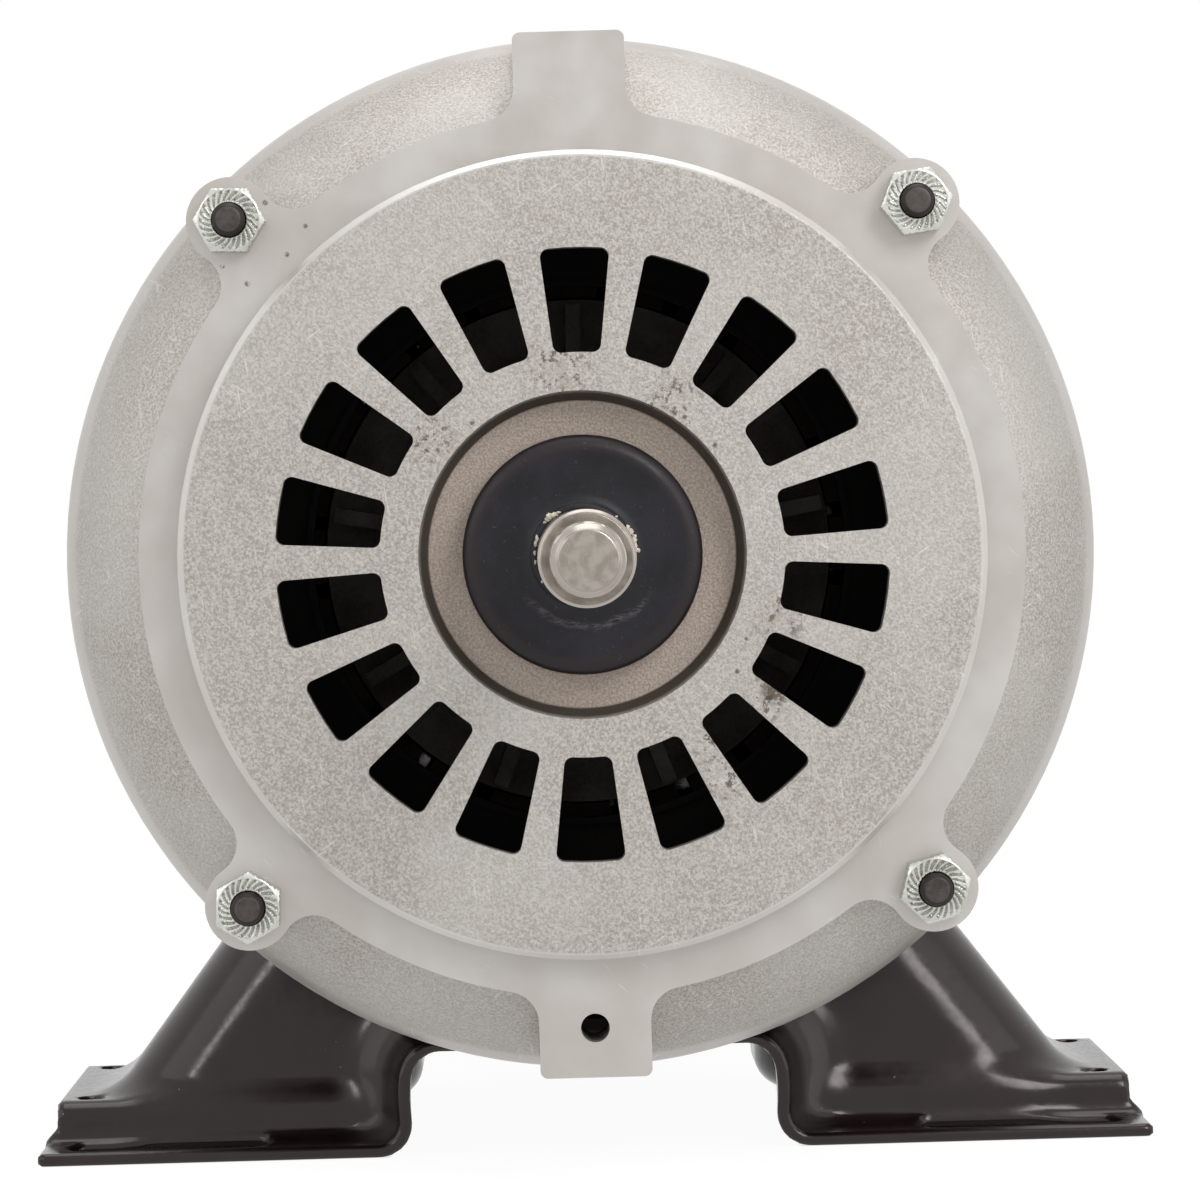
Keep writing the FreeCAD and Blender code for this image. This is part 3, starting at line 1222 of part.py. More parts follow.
def mounting_base():
    """One pressed sheet: slotted lips, raised platforms and hollow legs that carry the shell."""
    saddle = rod("saddle_keep", "y", "shell_r + fit_gap + sheet_wall", "base_back - base_front + 4",
                 ("0", "base_front - 2", "0"))
    keep = block("saddle_span", ("-leg_low_x", "platform_front + leg_inset", "foot_level"),
                 ("leg_low_x", "platform_back - leg_inset", "0"))
    under = common("saddle_in_legs", saddle, keep)
    room = cut("pressed_room", pressed_form("inner", "sheet_wall", "1"), under)
    lips = []
    for way, sign in (("left", "-"), ("right", "")):
        for label, near, far in (("front", "base_front", "platform_front + leg_inset + sheet_wall"),
                                 ("back", "platform_back - leg_inset - sheet_wall", "base_back")):
            inner = sign + "(tunnel_half_width + tunnel_flare - 1)"
            sides = sorted([sign + "base_half_width", inner], key=size)
            lips.append(block("lip_%s_%s" % (label, way), (sides[0], near, "foot_level"),
                              (sides[1], far, "foot_level + sheet_wall")))
    form = fuse("base_sheet", cut("pressed_shell", pressed_form("outer", "0", "0"), room), *lips)
    shell_room = rod("saddle_room", "y", "shell_r + fit_gap", "base_back - base_front + 4",
                     ("0", "base_front - 2", "0"))
    half = "foot_slot_length / 2 - foot_slot_r"
    slot_box = block("slot_box", ("-(%s)" % half, "-foot_slot_r", "foot_level - 1"),
                     (half, "foot_slot_r", "foot_level + sheet_wall + 1"))
    ends = [rod("slot_end_" + label, "z", "foot_slot_r", "sheet_wall + 2", (x, "0", "foot_level - 1"))
            for label, x in (("left", "-(%s)" % half), ("right", half))]
    slot = fuse("slot", slot_box, *ends)
    slots = moved("slots", slot, *[("%sfoot_x" % sign, y, "0") for sign in ("-", "")
                                   for y in ("foot_y", "foot_y + foot_spacing")])
    hole = rod("platform_hole", "z", "platform_hole_r", "sheet_wall + 4",
               ("0", "0", "foot_level + platform_height - sheet_wall - 2"))
    holes = moved("platform_holes", hole, *[("%splatform_hole_x" % sign, y, "0") for sign in ("-", "")
                                            for y in ("platform_front + platform_hole_inset",
                                                      "platform_back - platform_hole_inset")])
    subpart("mounting_base", cut("base_cut", form, shell_room, slots, holes))


front_end_bell()
shell()
bearing("front", 0)
bearing("rear", 0)
snap_ring()
wave_washer()
shaft()
slinger()
stator()
rotor()
air_baffle()
rear_end_bell()
rear_cover()
bonding_lug()
governor()
governor_spring()
stationary_switch()
terminal_board()
overload_protector()
capacitor()
bolts_and_nuts()
mounting_base()

doc.recompute()
for thing in doc.Objects:
    if {"Invalid", "Error"} & set(thing.State):
        raise RuntimeError("%s failed: %s" % (thing.Name, thing.State))
os.makedirs("parts", exist_ok=True)
for thing in subparts:
    if thing.Shape.isNull() or not thing.Shape.isValid():
        raise RuntimeError(thing.Label + " has no valid shape")
    thing.Shape.exportStep(os.path.join("parts", thing.Label + ".step"))
    print(thing.Label, len(thing.Shape.Solids), round(thing.Shape.Volume, 1))
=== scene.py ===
import math

import bmesh
import bpy
import numpy as np
from mathutils import Matrix, Vector
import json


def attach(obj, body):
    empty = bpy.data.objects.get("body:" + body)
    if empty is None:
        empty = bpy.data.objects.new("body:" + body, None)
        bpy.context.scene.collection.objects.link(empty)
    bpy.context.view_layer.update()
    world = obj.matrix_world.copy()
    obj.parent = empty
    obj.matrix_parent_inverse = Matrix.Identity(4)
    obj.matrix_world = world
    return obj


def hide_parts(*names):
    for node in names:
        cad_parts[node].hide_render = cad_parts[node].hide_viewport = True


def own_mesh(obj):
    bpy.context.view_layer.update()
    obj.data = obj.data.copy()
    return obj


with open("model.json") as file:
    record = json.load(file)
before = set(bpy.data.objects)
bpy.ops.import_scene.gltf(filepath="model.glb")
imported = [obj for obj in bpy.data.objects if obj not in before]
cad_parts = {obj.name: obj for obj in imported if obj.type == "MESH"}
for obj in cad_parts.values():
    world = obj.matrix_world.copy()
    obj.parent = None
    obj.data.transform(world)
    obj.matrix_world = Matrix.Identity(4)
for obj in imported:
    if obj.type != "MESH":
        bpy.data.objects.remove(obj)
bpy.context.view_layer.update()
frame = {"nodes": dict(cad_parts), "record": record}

MM = 0.001
SLOTS = {part["node"]: part["material_slot"] for part in frame["record"]["subparts"]}
BODIES = {node: body for body, nodes in frame["record"]["behaviour"]["bodies"].items() for node in nodes}

# Sizes shared with the frame, in millimetres. The shaft lies along Y and its drive end points to -Y. Y is 0
# at the machined ring of the front bell, X and Z are 0 on the shaft's axis, and Z is up.
FOOT = -88.9  # the floor
SHEET = 1.9  # thickness of the base's sheet
SHELL_R = 71.54  # the saddle of the base, a hair outside the shell
BASE_FRONT, BASE_BACK = 41.5, 126.15
BASE_MIDDLE = (BASE_FRONT + BASE_BACK) / 2
BASE_HALF = 82.55
PLATFORM_MIDDLE, PLATFORM_DEEP, PLATFORM_UP = 78.5, 24.5, 8.0
LEG_X, LEG_Z, LEG_LEAN, LEG_DEEP = 50.3, -50.7, math.radians(37), 24.0  # a spot on its slope, and the slope
TUNNEL_HALF = 28.9
SLOT_X, SLOT_YS, SLOT_R, SLOT_STRAIGHT = 63.5, (48.9, 118.75), 4.35, 10.65
HOLE_X, HOLE_YS, HOLE_R = 76, (59.1, 97.9), 1.75
BOLT = 47.625  # half the square of the thru-bolts
BOLT_TIP, BOLT_SEAT = -5.6, -1.0  # the scene's bolt ends lie between these
NUT_R, NUT_BORE, NUT_FACE = 4.365, 2.36, -3.8
SHAFT_R, STUD_R, UNDERCUT_R = 6.35, 4.76, 4.26
SHAFT_TIP, SHOULDER, DRIVE_END = -71.0, -55.0, -40.0  # the scene's drive end stops at the last
SLINGER_R, SLINGER_BORE = 16.6, 7.1
CORE_FRONT = 58.0  # the front end of the stator core
DOME_R, DOME_REACH, DOME_Y = 26.7, 47.3, 25.0  # the front bell's dome: its section, and where that is centred

# dirt and dark dots on the front bell, as x, y, z and reach
DIRT = ((-3.0, -5.0, 25.5, 7.0), (18.8, -5.0, -31.5, 4.5), (17.0, -5.0, -26.5, 4.0), (24.8, -5.0, -20.6, 4.5),
        (13.0, -5.0, 20.5, 6.0), (27.0, -5.0, -9.5, 5.0), (-20.5, -5.0, 16.5, 5.0))
DOTS = ((25.7, -5.0, -19.6, 2.3), (-14.7, -5.0, 18.6, 0.5), (14.6, -5.0, 18.6, 0.45),
        (18.7, -5.0, 14.6, 0.5), (20.9, -5.0, -16.7, 0.5), (22.3, -5.0, -12.2, 0.4),
        (17.3, -5.0, -26.3, 0.7), (-21.0, -5.0, 15.0, 0.4), (-42.7, 0.0, 50.1, 0.55),
        (-37.2, 0.0, 46.7, 0.45), (-39.9, 0.0, 42.8, 0.5), (-45.5, 0.0, 38.9, 0.55), (-48.9, 0.0, 41.4, 0.45))

# scratches on the front bell, as direction and length
SCRATCHES = ((0.6, 2.0), (-0.8, 1.7), (1.7, 2.2), (2.6, 1.5))

# crumbs of sealant round the shaft, as angle in degrees, reach from the axis, width and height
CRUMBS = ((128, 6.9, 0.6, 0.45), (133, 6.8, 0.4, 0.35), (123, 6.75, 0.4, 0.3), (138, 6.9, 0.25, 0.2),
          (118, 6.7, 0.3, 0.16), (159, 6.7, 0.25, 0.55), (165, 6.65, 0.22, 0.4), (176, 6.6, 0.18, 0.35),
          (187, 6.6, 0.16, 0.3), (29, 7.2, 0.3, 0.5), (24, 7.3, 0.35, 0.45), (18, 7.5, 0.35, 0.35),
          (14, 7.3, 0.4, 0.5), (8, 7.3, 0.35, 0.5), (3, 7.6, 0.4, 0.3), (-2, 7.2, 0.3, 0.45),
          (-9, 7.1, 0.22, 0.4), (-16, 6.9, 0.16, 0.3), (47, 7.0, 0.2, 0.16), (-38, 6.9, 0.14, 0.14),
          (212, 6.7, 0.16, 0.2))

# lamps, as name, place and aim in metres, size and watts
LAMPS = (("key_right", (0.5, -0.75, 0.57), (0, 0.0, 0), (0.35, 0.5), 4.4),
         ("key_left", (-0.75, -0.8, 0.55), (0, 0.0, -0.02), (0.13, 0.2), 0.85),
         ("side_left", (-0.95, -0.3, 0.4), (0, 0.05, -0.02), (0.6, 0.8), 1.2),
         ("side_right", (0.95, -0.35, 0.2), (0, 0.05, -0.02), (0.6, 0.8), 1.3),
         ("soft_top", (0.0, 0.1, 1.2), (0, 0.05, 0), (0.9, 0.9), 5.4))

# the camera stands where the photograph's did, level with the shaft and rolled a little
CAMERA_SPOT = (-0.00735, -0.655, 0.00678)
CAMERA_ROLL = math.radians(1.6)
CAMERA_LENS, CAMERA_SHIFT = 141.3, (0.06, -0.0775)


def linear(red, green, blue):
    """A colour given as 0 to 255 display values, as the shader takes it."""
    return tuple(((v / 255 + 0.055) / 1.055) ** 2.4 for v in (red, green, blue)) + (1.0,)


def add_node(tree, kind, inputs, out=0, **settings):
    """A shader node with its inputs set or linked; gives one of its outputs."""
    made = tree.nodes.new(kind)
    for key, value in settings.items():
        setattr(made, key, value)
    for key, value in inputs.items():
        if isinstance(value, bpy.types.NodeSocket):
            tree.links.new(value, made.inputs[key])
        else:
            made.inputs[key].default_value = value
    return made.outputs[out]


def greatest(tree, first, *others):
    """The greatest of two or more values of a shader."""
    for other in others:
        first = add_node(tree, "ShaderNodeMath", {0: first, 1: other}, operation="MAXIMUM")
    return first


class Finish:
    """A procedural material built node by node in the object's own millimetres."""

    def __init__(self, name, **constants):
        self.material = bpy.data.materials.new(name)
        self.material.use_nodes = True
        self.tree = self.material.node_tree
        self.shader = next(n for n in self.tree.nodes if n.type == "BSDF_PRINCIPLED")
        for socket, value in constants.items():
            self.shader.inputs[socket.replace("_", " ")].default_value = value
        place = self.add("ShaderNodeTexCoord", {}, "Object")
        self.mm = self.add("ShaderNodeVectorMath", {0: place, "Scale": 1000}, operation="SCALE")
        axes = self.tree.nodes.new("ShaderNodeSeparateXYZ")
        self.tree.links.new(self.mm, axes.inputs[0])
        self.x, self.y, self.z = axes.outputs
        self.radius = self.length(X=self.x, Z=self.z)

    def add(self, kind, inputs, out=0, **settings):
        return add_node(self.tree, kind, inputs, out, **settings)

    def math(self, operation, *values):
        return self.add("ShaderNodeMath", dict(enumerate(values)), operation=operation)

    def times(self, first, *others):
        for other in others:
            first = self.math("MULTIPLY", first, other)
        return first

    def most(self, *values):
        return greatest(self.tree, *values)

    def plus(self, first, second):
        return self.math("ADD", first, second)

    def length(self, **axes):
        """How long the vector with these parts is."""
        vector = self.add("ShaderNodeCombineXYZ", axes)
        return self.add("ShaderNodeVectorMath", {0: vector}, "Value", operation="LENGTH")

    def distance(self, spot):
        return self.add("ShaderNodeVectorMath", {0: self.mm, 1: spot}, "Value", operation="DISTANCE")

    def noise(self, scale, detail=2.0, roughness=0.5, spot=None):
        """Cloudy variation, with that many lumps to the millimetre."""
        return self.add("ShaderNodeTexNoise", {"Vector": spot or self.mm, "Scale": scale, "Detail": detail,
                                               "Roughness": roughness}, "Fac")

    def ramp(self, value, low, high, start=0.0, end=1.0):
        """The value eased from start to end as it goes from low to high."""
        return self.add("ShaderNodeMapRange", {"Value": value, "From Min": low, "From Max": high,
                                               "To Min": start, "To Max": end},
                        interpolation_type="SMOOTHSTEP")

    def mix(self, share, first, second):
        """The first colour with a share of the second."""
        return self.add("ShaderNodeMix", {0: share, 6: first, 7: second}, 2, data_type="RGBA")

    def near(self, spots):
        """1 at each spot, given as x, y, z and reach in millimetres, and 0 from its reach on."""
        return self.most(*(self.ramp(self.distance(spot), reach * 0.3, reach, 1.0, 0.0)
                           for *spot, reach in spots))

    def streaks(self, angle, length):
        """Short thin marks along one direction of the x-z plane, each about that long."""
        spun = self.add("ShaderNodeMapping", {"Vector": self.mm, "Rotation": (0.0, angle, 0.0)})
        drawn = self.add("ShaderNodeVectorMath", {0: spun, 1: (1 / length, 0.2, 1 / 0.12)},
                         operation="MULTIPLY")
        field = self.add("ShaderNodeTexNoise", {"Vector": drawn, "Scale": 0.5, "Detail": 0.0}, "Fac")
        return self.ramp(field, 0.79, 0.84)

    def bump(self, height, depth):
        """A bump of that depth in millimetres for a height from 0 to 1."""
        return self.add("ShaderNodeBump", {"Height": height, "Distance": depth * MM, "Strength": 1.0})

    def use(self, **sockets):
        for socket, value in sockets.items():
            self.tree.links.new(value, self.shader.inputs[socket.replace("_", " ")])
        return self.material


def cast_aluminium():
    """Sand-textured casting with the faces that a lathe has cleaned left smooth."""
    f = Finish("cast_aluminium", Metallic=0.72)
    grain, grit = f.noise(2.9, 3.0, 0.6), f.noise(5.5, 2.0, 0.6)
    cloud, stain = f.noise(0.035, 3.0, 0.55), f.noise(0.07, 4.0, 0.6)

    # the ring, the rim and the corner of the disc are clean, the rest is sand
    ring = f.times(f.ramp(f.math("ABSOLUTE", f.y), 0.12, 0.5, 1.0, 0.0), f.ramp(f.radius, 55.9, 56.4))
    rim = f.times(f.ramp(f.radius, 71.2, 72.2), f.ramp(f.y, 3.0, 8.0), 0.75)
    corner = f.times(f.ramp(f.radius, 54.9, 55.3), f.ramp(f.y, -3.4, -4.2))
    smooth = f.most(ring, rim, corner)
    sand = f.mix(f.ramp(grain, 0.30, 0.72), linear(156, 150, 143), linear(196, 191, 186))
    sand = f.mix(f.times(f.ramp(grit, 0.62, 0.76), 0.6), sand, linear(226, 223, 219))
    sand = f.mix(f.times(f.ramp(grit, 0.38, 0.28), 0.6), sand, linear(128, 121, 115))
    sand = f.mix(f.times(f.ramp(cloud, 0.42, 0.62), 0.3), sand, linear(196, 193, 190))
    clean = f.mix(f.ramp(stain, 0.3, 0.7), linear(188, 183, 178), linear(199, 195, 191))
    clean = f.mix(f.times(f.ramp(cloud, 0.60, 0.42), 0.3), clean, linear(184, 175, 168))
    colour = f.mix(smooth, sand, clean)
    colour = f.mix(f.times(corner, 0.25), colour, linear(228, 226, 223))

    scratch = f.most(*(f.streaks(angle, length) for angle, length in SCRATCHES))
    scratch = f.times(scratch, f.ramp(f.noise(0.09, 1.0), 0.42, 0.6, 0.05, 0.45), 0.8)
    colour = f.mix(scratch, colour, linear(230, 226, 220))

    # the recess round the slinger, brown on its floor, with painted shade darkening its wall
    well = f.times(f.ramp(f.radius, 22.9, 22.4), f.ramp(f.y, -4.6, -3.0))
    pit = f.mix(f.ramp(grain, 0.3, 0.7), linear(164, 150, 139), linear(200, 187, 175))
    colour = f.mix(well, colour, pit)
    # painted shade down the recess wall
    colour = f.mix(f.times(well, f.ramp(f.radius, 21.2, 21.6), 0.9), colour, linear(66, 60, 56))

    dirt = f.near(DIRT)
    specks = f.times(dirt, f.ramp(f.noise(0.95, 4.0, 0.7), 0.54, 0.61), 0.8)
    colour = f.mix(specks, colour, linear(80, 70, 58))
    grime = f.times(dirt, f.ramp(f.noise(0.5, 3.0, 0.6), 0.45, 0.65), 0.3)
    colour = f.mix(grime, colour, linear(150, 138, 124))
    dots = f.times(f.near(DOTS), f.ramp(f.noise(1.6, 3.0, 0.6), 0.34, 0.5), 0.8)
    colour = f.mix(dots, colour, linear(74, 62, 50))

    # painted shade: the vent walls and the inside of the dome are darkened where shade falls
    vent_wall_shade = f.times(f.ramp(f.y, -3.6, -1.0), f.ramp(f.radius, 55.6, 54.6), f.ramp(f.radius, 22.9, 23.4))
    outward = f.most(f.math("SUBTRACT", f.radius, DOME_REACH), 0.0)
    under = f.math("SUBTRACT", DOME_R, f.length(X=outward, Y=f.math("SUBTRACT", DOME_Y, f.y)))
    inside = f.most(vent_wall_shade, f.times(f.ramp(under, 1.0, 3.0), f.ramp(f.y, 3.0, 5.0)))
    colour = f.mix(f.times(inside, 0.93), colour, linear(34, 31, 29))

    bumps = f.mix(smooth, grain, f.times(f.noise(0.9, 2.0), 0.12))
    rough = f.mix(smooth, f.ramp(grit, 0.3, 0.7, 0.50, 0.62), f.ramp(stain, 0.3, 0.7, 0.36, 0.46))
    return f.use(Base_Color=colour, Roughness=rough, Normal=f.bump(bumps, 0.09))


def turned_steel(name, low, high, rough):
    """Lathe-turned steel with fine rings round the axis, and the shaft's stained end face and shoulder."""
    f = Finish(name, Metallic=1.0)
    fine = f.noise(3.0, 4.0, 0.7, f.add("ShaderNodeCombineXYZ", {"X": f.radius, "Y": f.y}))
    colour = f.mix(f.ramp(fine, 0.3, 0.7), low, high)
    colour = f.mix(f.times(f.ramp(f.noise(0.25, 3.0), 0.5, 0.75), 0.3), colour, linear(120, 112, 104))
    cloudy = f.mix(f.ramp(f.noise(0.55, 2.0), 0.35, 0.65), linear(146, 139, 130), linear(168, 161, 152))
    cloudy = f.mix(f.times(f.ramp(fine, 0.5, 0.7), 0.25), cloudy, linear(190, 184, 176))
    colour = f.mix(f.ramp(f.y, SHAFT_TIP + 0.05, SHAFT_TIP + 0.01), colour, cloudy)
    shoulder = f.times(f.ramp(f.radius, 4.65, 4.85), f.ramp(f.radius, 6.02, 5.92),
                       f.ramp(f.y, SHOULDER - 0.3, SHOULDER - 0.15),
                       f.ramp(f.y, SHOULDER + 0.4, SHOULDER + 0.1))
    stained = f.mix(f.ramp(f.noise(0.5, 2.0), 0.3, 0.7), linear(118, 111, 101), linear(146, 138, 128))
    return f.use(Base_Color=f.mix(shoulder, colour, stained),
                 Roughness=f.ramp(fine, 0.25, 0.75, rough, rough + 0.14), Normal=f.bump(fine, 0.012))


def plain_metal(name, low, high, rough, grain=1.5, depth=0.01, metal=1.0, shade_from=None):
    """Rolled, cast or plated metal with faint clouds and grain, and painted shade from a given Y backwards if
    one is given.
    """
    f = Finish(name, Metallic=metal)
    cloud = f.noise(0.12, 3.0)
    fine = f.noise(grain, 3.0, 0.6)
    colour = f.mix(f.ramp(f.plus(f.times(cloud, 0.6), f.times(fine, 0.4)), 0.35, 0.65), low, high)
    if shade_from:
        # painted shade: everything behind the given Y, the chamfer and thread of the bolt ends, is darkened
        colour = f.mix(f.ramp(f.y, shade_from, shade_from + 0.05), colour, linear(52, 47, 44))
    return f.use(Base_Color=colour, Roughness=f.ramp(fine, 0.25, 0.75, rough, rough + 0.16),
                 Normal=f.bump(fine, depth))


def gloss_paint(name, low, high, rough, dust):
    """Dipped enamel: slow waves in the coat, pin specks and a little settled dust."""
    f = Finish(name, Metallic=0.0, Specular_IOR_Level=0.45, Specular_Tint=(1.0, 0.93, 0.92, 1.0))
    wave = f.noise(0.16, 2.0, 0.5)
    fine = f.noise(1.2, 3.0, 0.55)
    cell = f.add("ShaderNodeTexVoronoi", {"Vector": f.mm, "Scale": 0.55}, "Distance")
    speck = f.times(f.ramp(cell, 0.10, 0.05), f.ramp(f.noise(0.3, 1.0), 0.60, 0.68))
    colour = f.mix(f.ramp(wave, 0.35, 0.65), low, high)
    colour = f.mix(f.times(speck, dust), colour, linear(150, 140, 134))
    height = f.plus(f.plus(f.times(wave, 0.9), f.times(fine, 0.05)), f.times(speck, 0.6))
    return f.use(Base_Color=colour, Roughness=f.ramp(fine, 0.3, 0.75, rough, rough + 0.07),
                 Normal=f.bump(height, 0.07))


def slinger_rubber():
    """Dark moulded rubber with dust, ring scuffs, a brown rim and one scuffed arc under the shaft."""
    f = Finish("slinger_rubber", Metallic=0.0, Specular_IOR_Level=0.3)
    rings = f.noise(2.2, 5.0, 0.75, f.add("ShaderNodeCombineXYZ", {"X": f.radius}))
    patch = f.noise(0.14, 3.0, 0.6)
    dust = f.noise(1.6, 4.0, 0.7)
    colour = f.mix(f.ramp(patch, 0.35, 0.65), linear(19, 18, 24), linear(31, 29, 36))
    colour = f.mix(f.times(f.ramp(f.radius, 13.8, 15.0), 0.7), colour, linear(36, 28, 28))
    colour = f.mix(f.times(f.ramp(rings, 0.56, 0.72), 0.2), colour, linear(66, 62, 66))
    arc = f.plus(f.distance((0.6, -6.0, 0.6)), f.times(f.noise(0.35, 2.0), 1.6))
    drawn = f.add("ShaderNodeVectorMath", {0: f.mm, 1: (0.35, 1.0, 1.6)}, operation="MULTIPLY")
    scuff = f.times(f.ramp(arc, 10.6, 11.2), f.ramp(arc, 12.2, 11.3), f.ramp(f.z, -4.5, -8.0),
                    f.ramp(f.noise(3.0, 3.0, 0.6, drawn), 0.36, 0.66), 0.42)
    colour = f.mix(scuff, colour, linear(122, 116, 118))
    colour = f.mix(f.times(f.ramp(dust, 0.62, 0.74), 0.35), colour, linear(104, 96, 92))
    return f.use(Base_Color=colour, Roughness=f.ramp(patch, 0.3, 0.7, 0.36, 0.52),
                 Normal=f.bump(f.plus(f.times(rings, 0.5), f.times(dust, 0.5)), 0.05))


def dried_sealant():
    """Dried cream sealant."""
    f = Finish("dried_sealant", Metallic=0.0)
    tone = f.noise(2.0, 3.0)
    return f.use(Base_Color=f.mix(f.ramp(tone, 0.3, 0.7), linear(186, 176, 156), linear(232, 226, 210)),
                 Roughness=f.ramp(tone, 0.3, 0.7, 0.6, 0.8), Normal=f.bump(tone, 0.1))


def laminations():
    """Stacked steel sheets, seen as lines along the axis, with painted shade darkening the front end."""
    f = Finish("lamination", Metallic=0.85)
    seam = f.ramp(f.math("PINGPONG", f.y, 0.32), 0.0, 0.08, 1.0, 0.0)
    cloud = f.noise(0.15, 4.0, 0.6)
    colour = f.mix(f.ramp(cloud, 0.35, 0.65), linear(92, 90, 90), linear(140, 138, 138))
    colour = f.mix(f.times(seam, 0.6), colour, linear(40, 38, 38))
    # painted shade: the front end of the core is darkened where it lies in shade
    colour = f.mix(f.ramp(f.y, CORE_FRONT + 0.6, CORE_FRONT + 0.2), colour, linear(26, 20, 17))
    return f.use(Base_Color=colour, Roughness=f.ramp(cloud, 0.3, 0.7, 0.38, 0.55),
                 Normal=f.bump(f.math("SUBTRACT", 1.0, seam), 0.05))


def magnet_wire():
    """Varnished copper wire laid round the axis in layers, with painted shade in the grooves between turns.
    """
    f = Finish("enamelled_copper", Metallic=0.75, Coat_Weight=0.4, Coat_Roughness=0.2)
    wander = f.times(f.noise(0.12, 2.0), 2.4)
    across = f.plus(f.plus(f.radius, f.times(f.y, 0.9)), wander)
    groove = f.ramp(f.math("PINGPONG", across, 0.45), 0.0, 0.3)
    tone = f.noise(0.35, 3.0)
    colour = f.mix(f.ramp(tone, 0.3, 0.7), linear(118, 58, 30), linear(178, 98, 52))
    # painted shade in the grooves between the turns
    colour = f.mix(f.ramp(groove, 0.0, 0.5, 0.7, 0.0), colour, linear(50, 22, 12))
    return f.use(Base_Color=colour, Roughness=f.ramp(tone, 0.3, 0.7, 0.25, 0.42), Normal=f.bump(groove, 0.22))


def moulded(name, low, high, rough, gleam):
    """Moulded plastic or phenolic with a fine grain."""
    f = Finish(name, Metallic=0.0, Specular_IOR_Level=gleam)
    fine = f.noise(2.4, 3.0, 0.6)
    cloud = f.noise(0.2, 3.0)
    colour = f.mix(f.ramp(f.plus(f.times(fine, 0.5), f.times(cloud, 0.5)), 0.4, 0.62), low, high)
    return f.use(Base_Color=colour, Roughness=f.ramp(fine, 0.3, 0.7, rough, rough + 0.15),
                 Normal=f.bump(fine, 0.02))


MATERIALS = {"cast_aluminium": cast_aluminium(), "slinger_rubber": slinger_rubber(),
             "lamination": laminations(), "enamelled_copper": magnet_wire()}

# the other materials, as what builds them, two colours as display values, and the rest of its values
for slot, (build, low, high, *values) in {
        "cast_rotor_aluminium": (plain_metal, (52, 49, 47), (84, 80, 77), 0.5, 1.6, 0.04),
        "shell_paint": (gloss_paint, (22, 21, 23), (31, 29, 31), 0.22, 0.3),
        "base_paint": (gloss_paint, (24, 15, 14), (33, 22, 21), 0.17, 0.6),
        "bearing_steel": (turned_steel, (176, 176, 178), (206, 206, 208), 0.12),
        "spring_steel": (plain_metal, (120, 120, 124), (160, 160, 162), 0.28),
        "shaft_steel": (turned_steel, (150, 142, 135), (186, 179, 172), 0.24),
        "zinc_steel": (plain_metal, (184, 185, 178), (213, 213, 208), 0.22, 1.2),
        # the bolt ends get painted shade behind their tip face
        "black_bolt_steel": (plain_metal, (58, 54, 52), (86, 80, 77), 0.36, 1.4, 0.02, 0.8, BOLT_TIP + 0.02),
        "green_screw_steel": (gloss_paint, (20, 92, 44), (30, 118, 58), 0.24, 0.2),
        "brass": (plain_metal, (182, 148, 76), (214, 182, 104), 0.22),
        "copper": (plain_metal, (158, 92, 60), (204, 132, 92), 0.26),
        "brown_phenolic": (moulded, (70, 38, 22), (98, 56, 34), 0.4, 0.5),
        "black_plastic": (moulded, (13, 9, 7), (19, 14, 11), 0.5, 0.15)}.items():
    MATERIALS[slot] = build(slot, linear(*low), linear(*high), *values)


def linked(name, data):
    """A new object of the scene."""
    thing = bpy.data.objects.new(name, data)
    bpy.context.scene.collection.objects.link(thing)
    return thing


def finished(thing, node, angle=None):
    """Gives a piece the finish of the node that it stands for, its body and smooth shading.

    Edges sharper than the angle stay sharp."""
    thing.data.materials.clear()
    thing.data.materials.append(MATERIALS[SLOTS[node]])
    thing.data.polygons.foreach_set("use_smooth", [True] * len(thing.data.polygons))
    if angle:
        thing.data.set_sharp_from_angle(angle=math.radians(angle))
    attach(thing, BODIES[node])
    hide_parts(node)


def piece(name, points, faces):
    """A new mesh object from points in millimetres."""
    mesh = bpy.data.meshes.new(name)
    mesh.from_pydata((np.asarray(points, float) * MM).tolist(), [], faces)
    mesh.validate()
    return linked(name, mesh)


def dressed(node, width, back_from=None):
    """A copy of a node's mesh with its sharp edges rounded, or only what lies behind one Y of it."""
    mesh = frame["nodes"][node].data.copy()
    form = bmesh.new()
    form.from_mesh(mesh)
    bmesh.ops.remove_doubles(form, verts=form.verts, dist=0.002 * MM)
    bmesh.ops.dissolve_limit(form, angle_limit=math.radians(0.4), verts=form.verts, edges=form.edges)
    if back_from is not None:
        every = form.verts[:] + form.edges[:] + form.faces[:]
        cut = bmesh.ops.bisect_plane(form, geom=every, plane_co=(0, back_from * MM, 0), plane_no=(0, -1, 0),
                                     clear_outer=True)
        bmesh.ops.holes_fill(form, edges=[e for e in cut["geom_cut"] if isinstance(e, bmesh.types.BMEdge)])
    form.to_mesh(mesh)
    form.free()
    thing = linked(node + "_dressed", mesh)
    ease = thing.modifiers.new("ease", "BEVEL")
    ease.width = width * MM
    ease.segments = 2
    ease.limit_method = "ANGLE"
    ease.angle_limit = math.radians(35)
    ease.use_clamp_overlap = True
    ease.harden_normals = False
    even = thing.modifiers.new("even", "WEIGHTED_NORMAL")
    even.keep_sharp = True
    finished(thing, node)


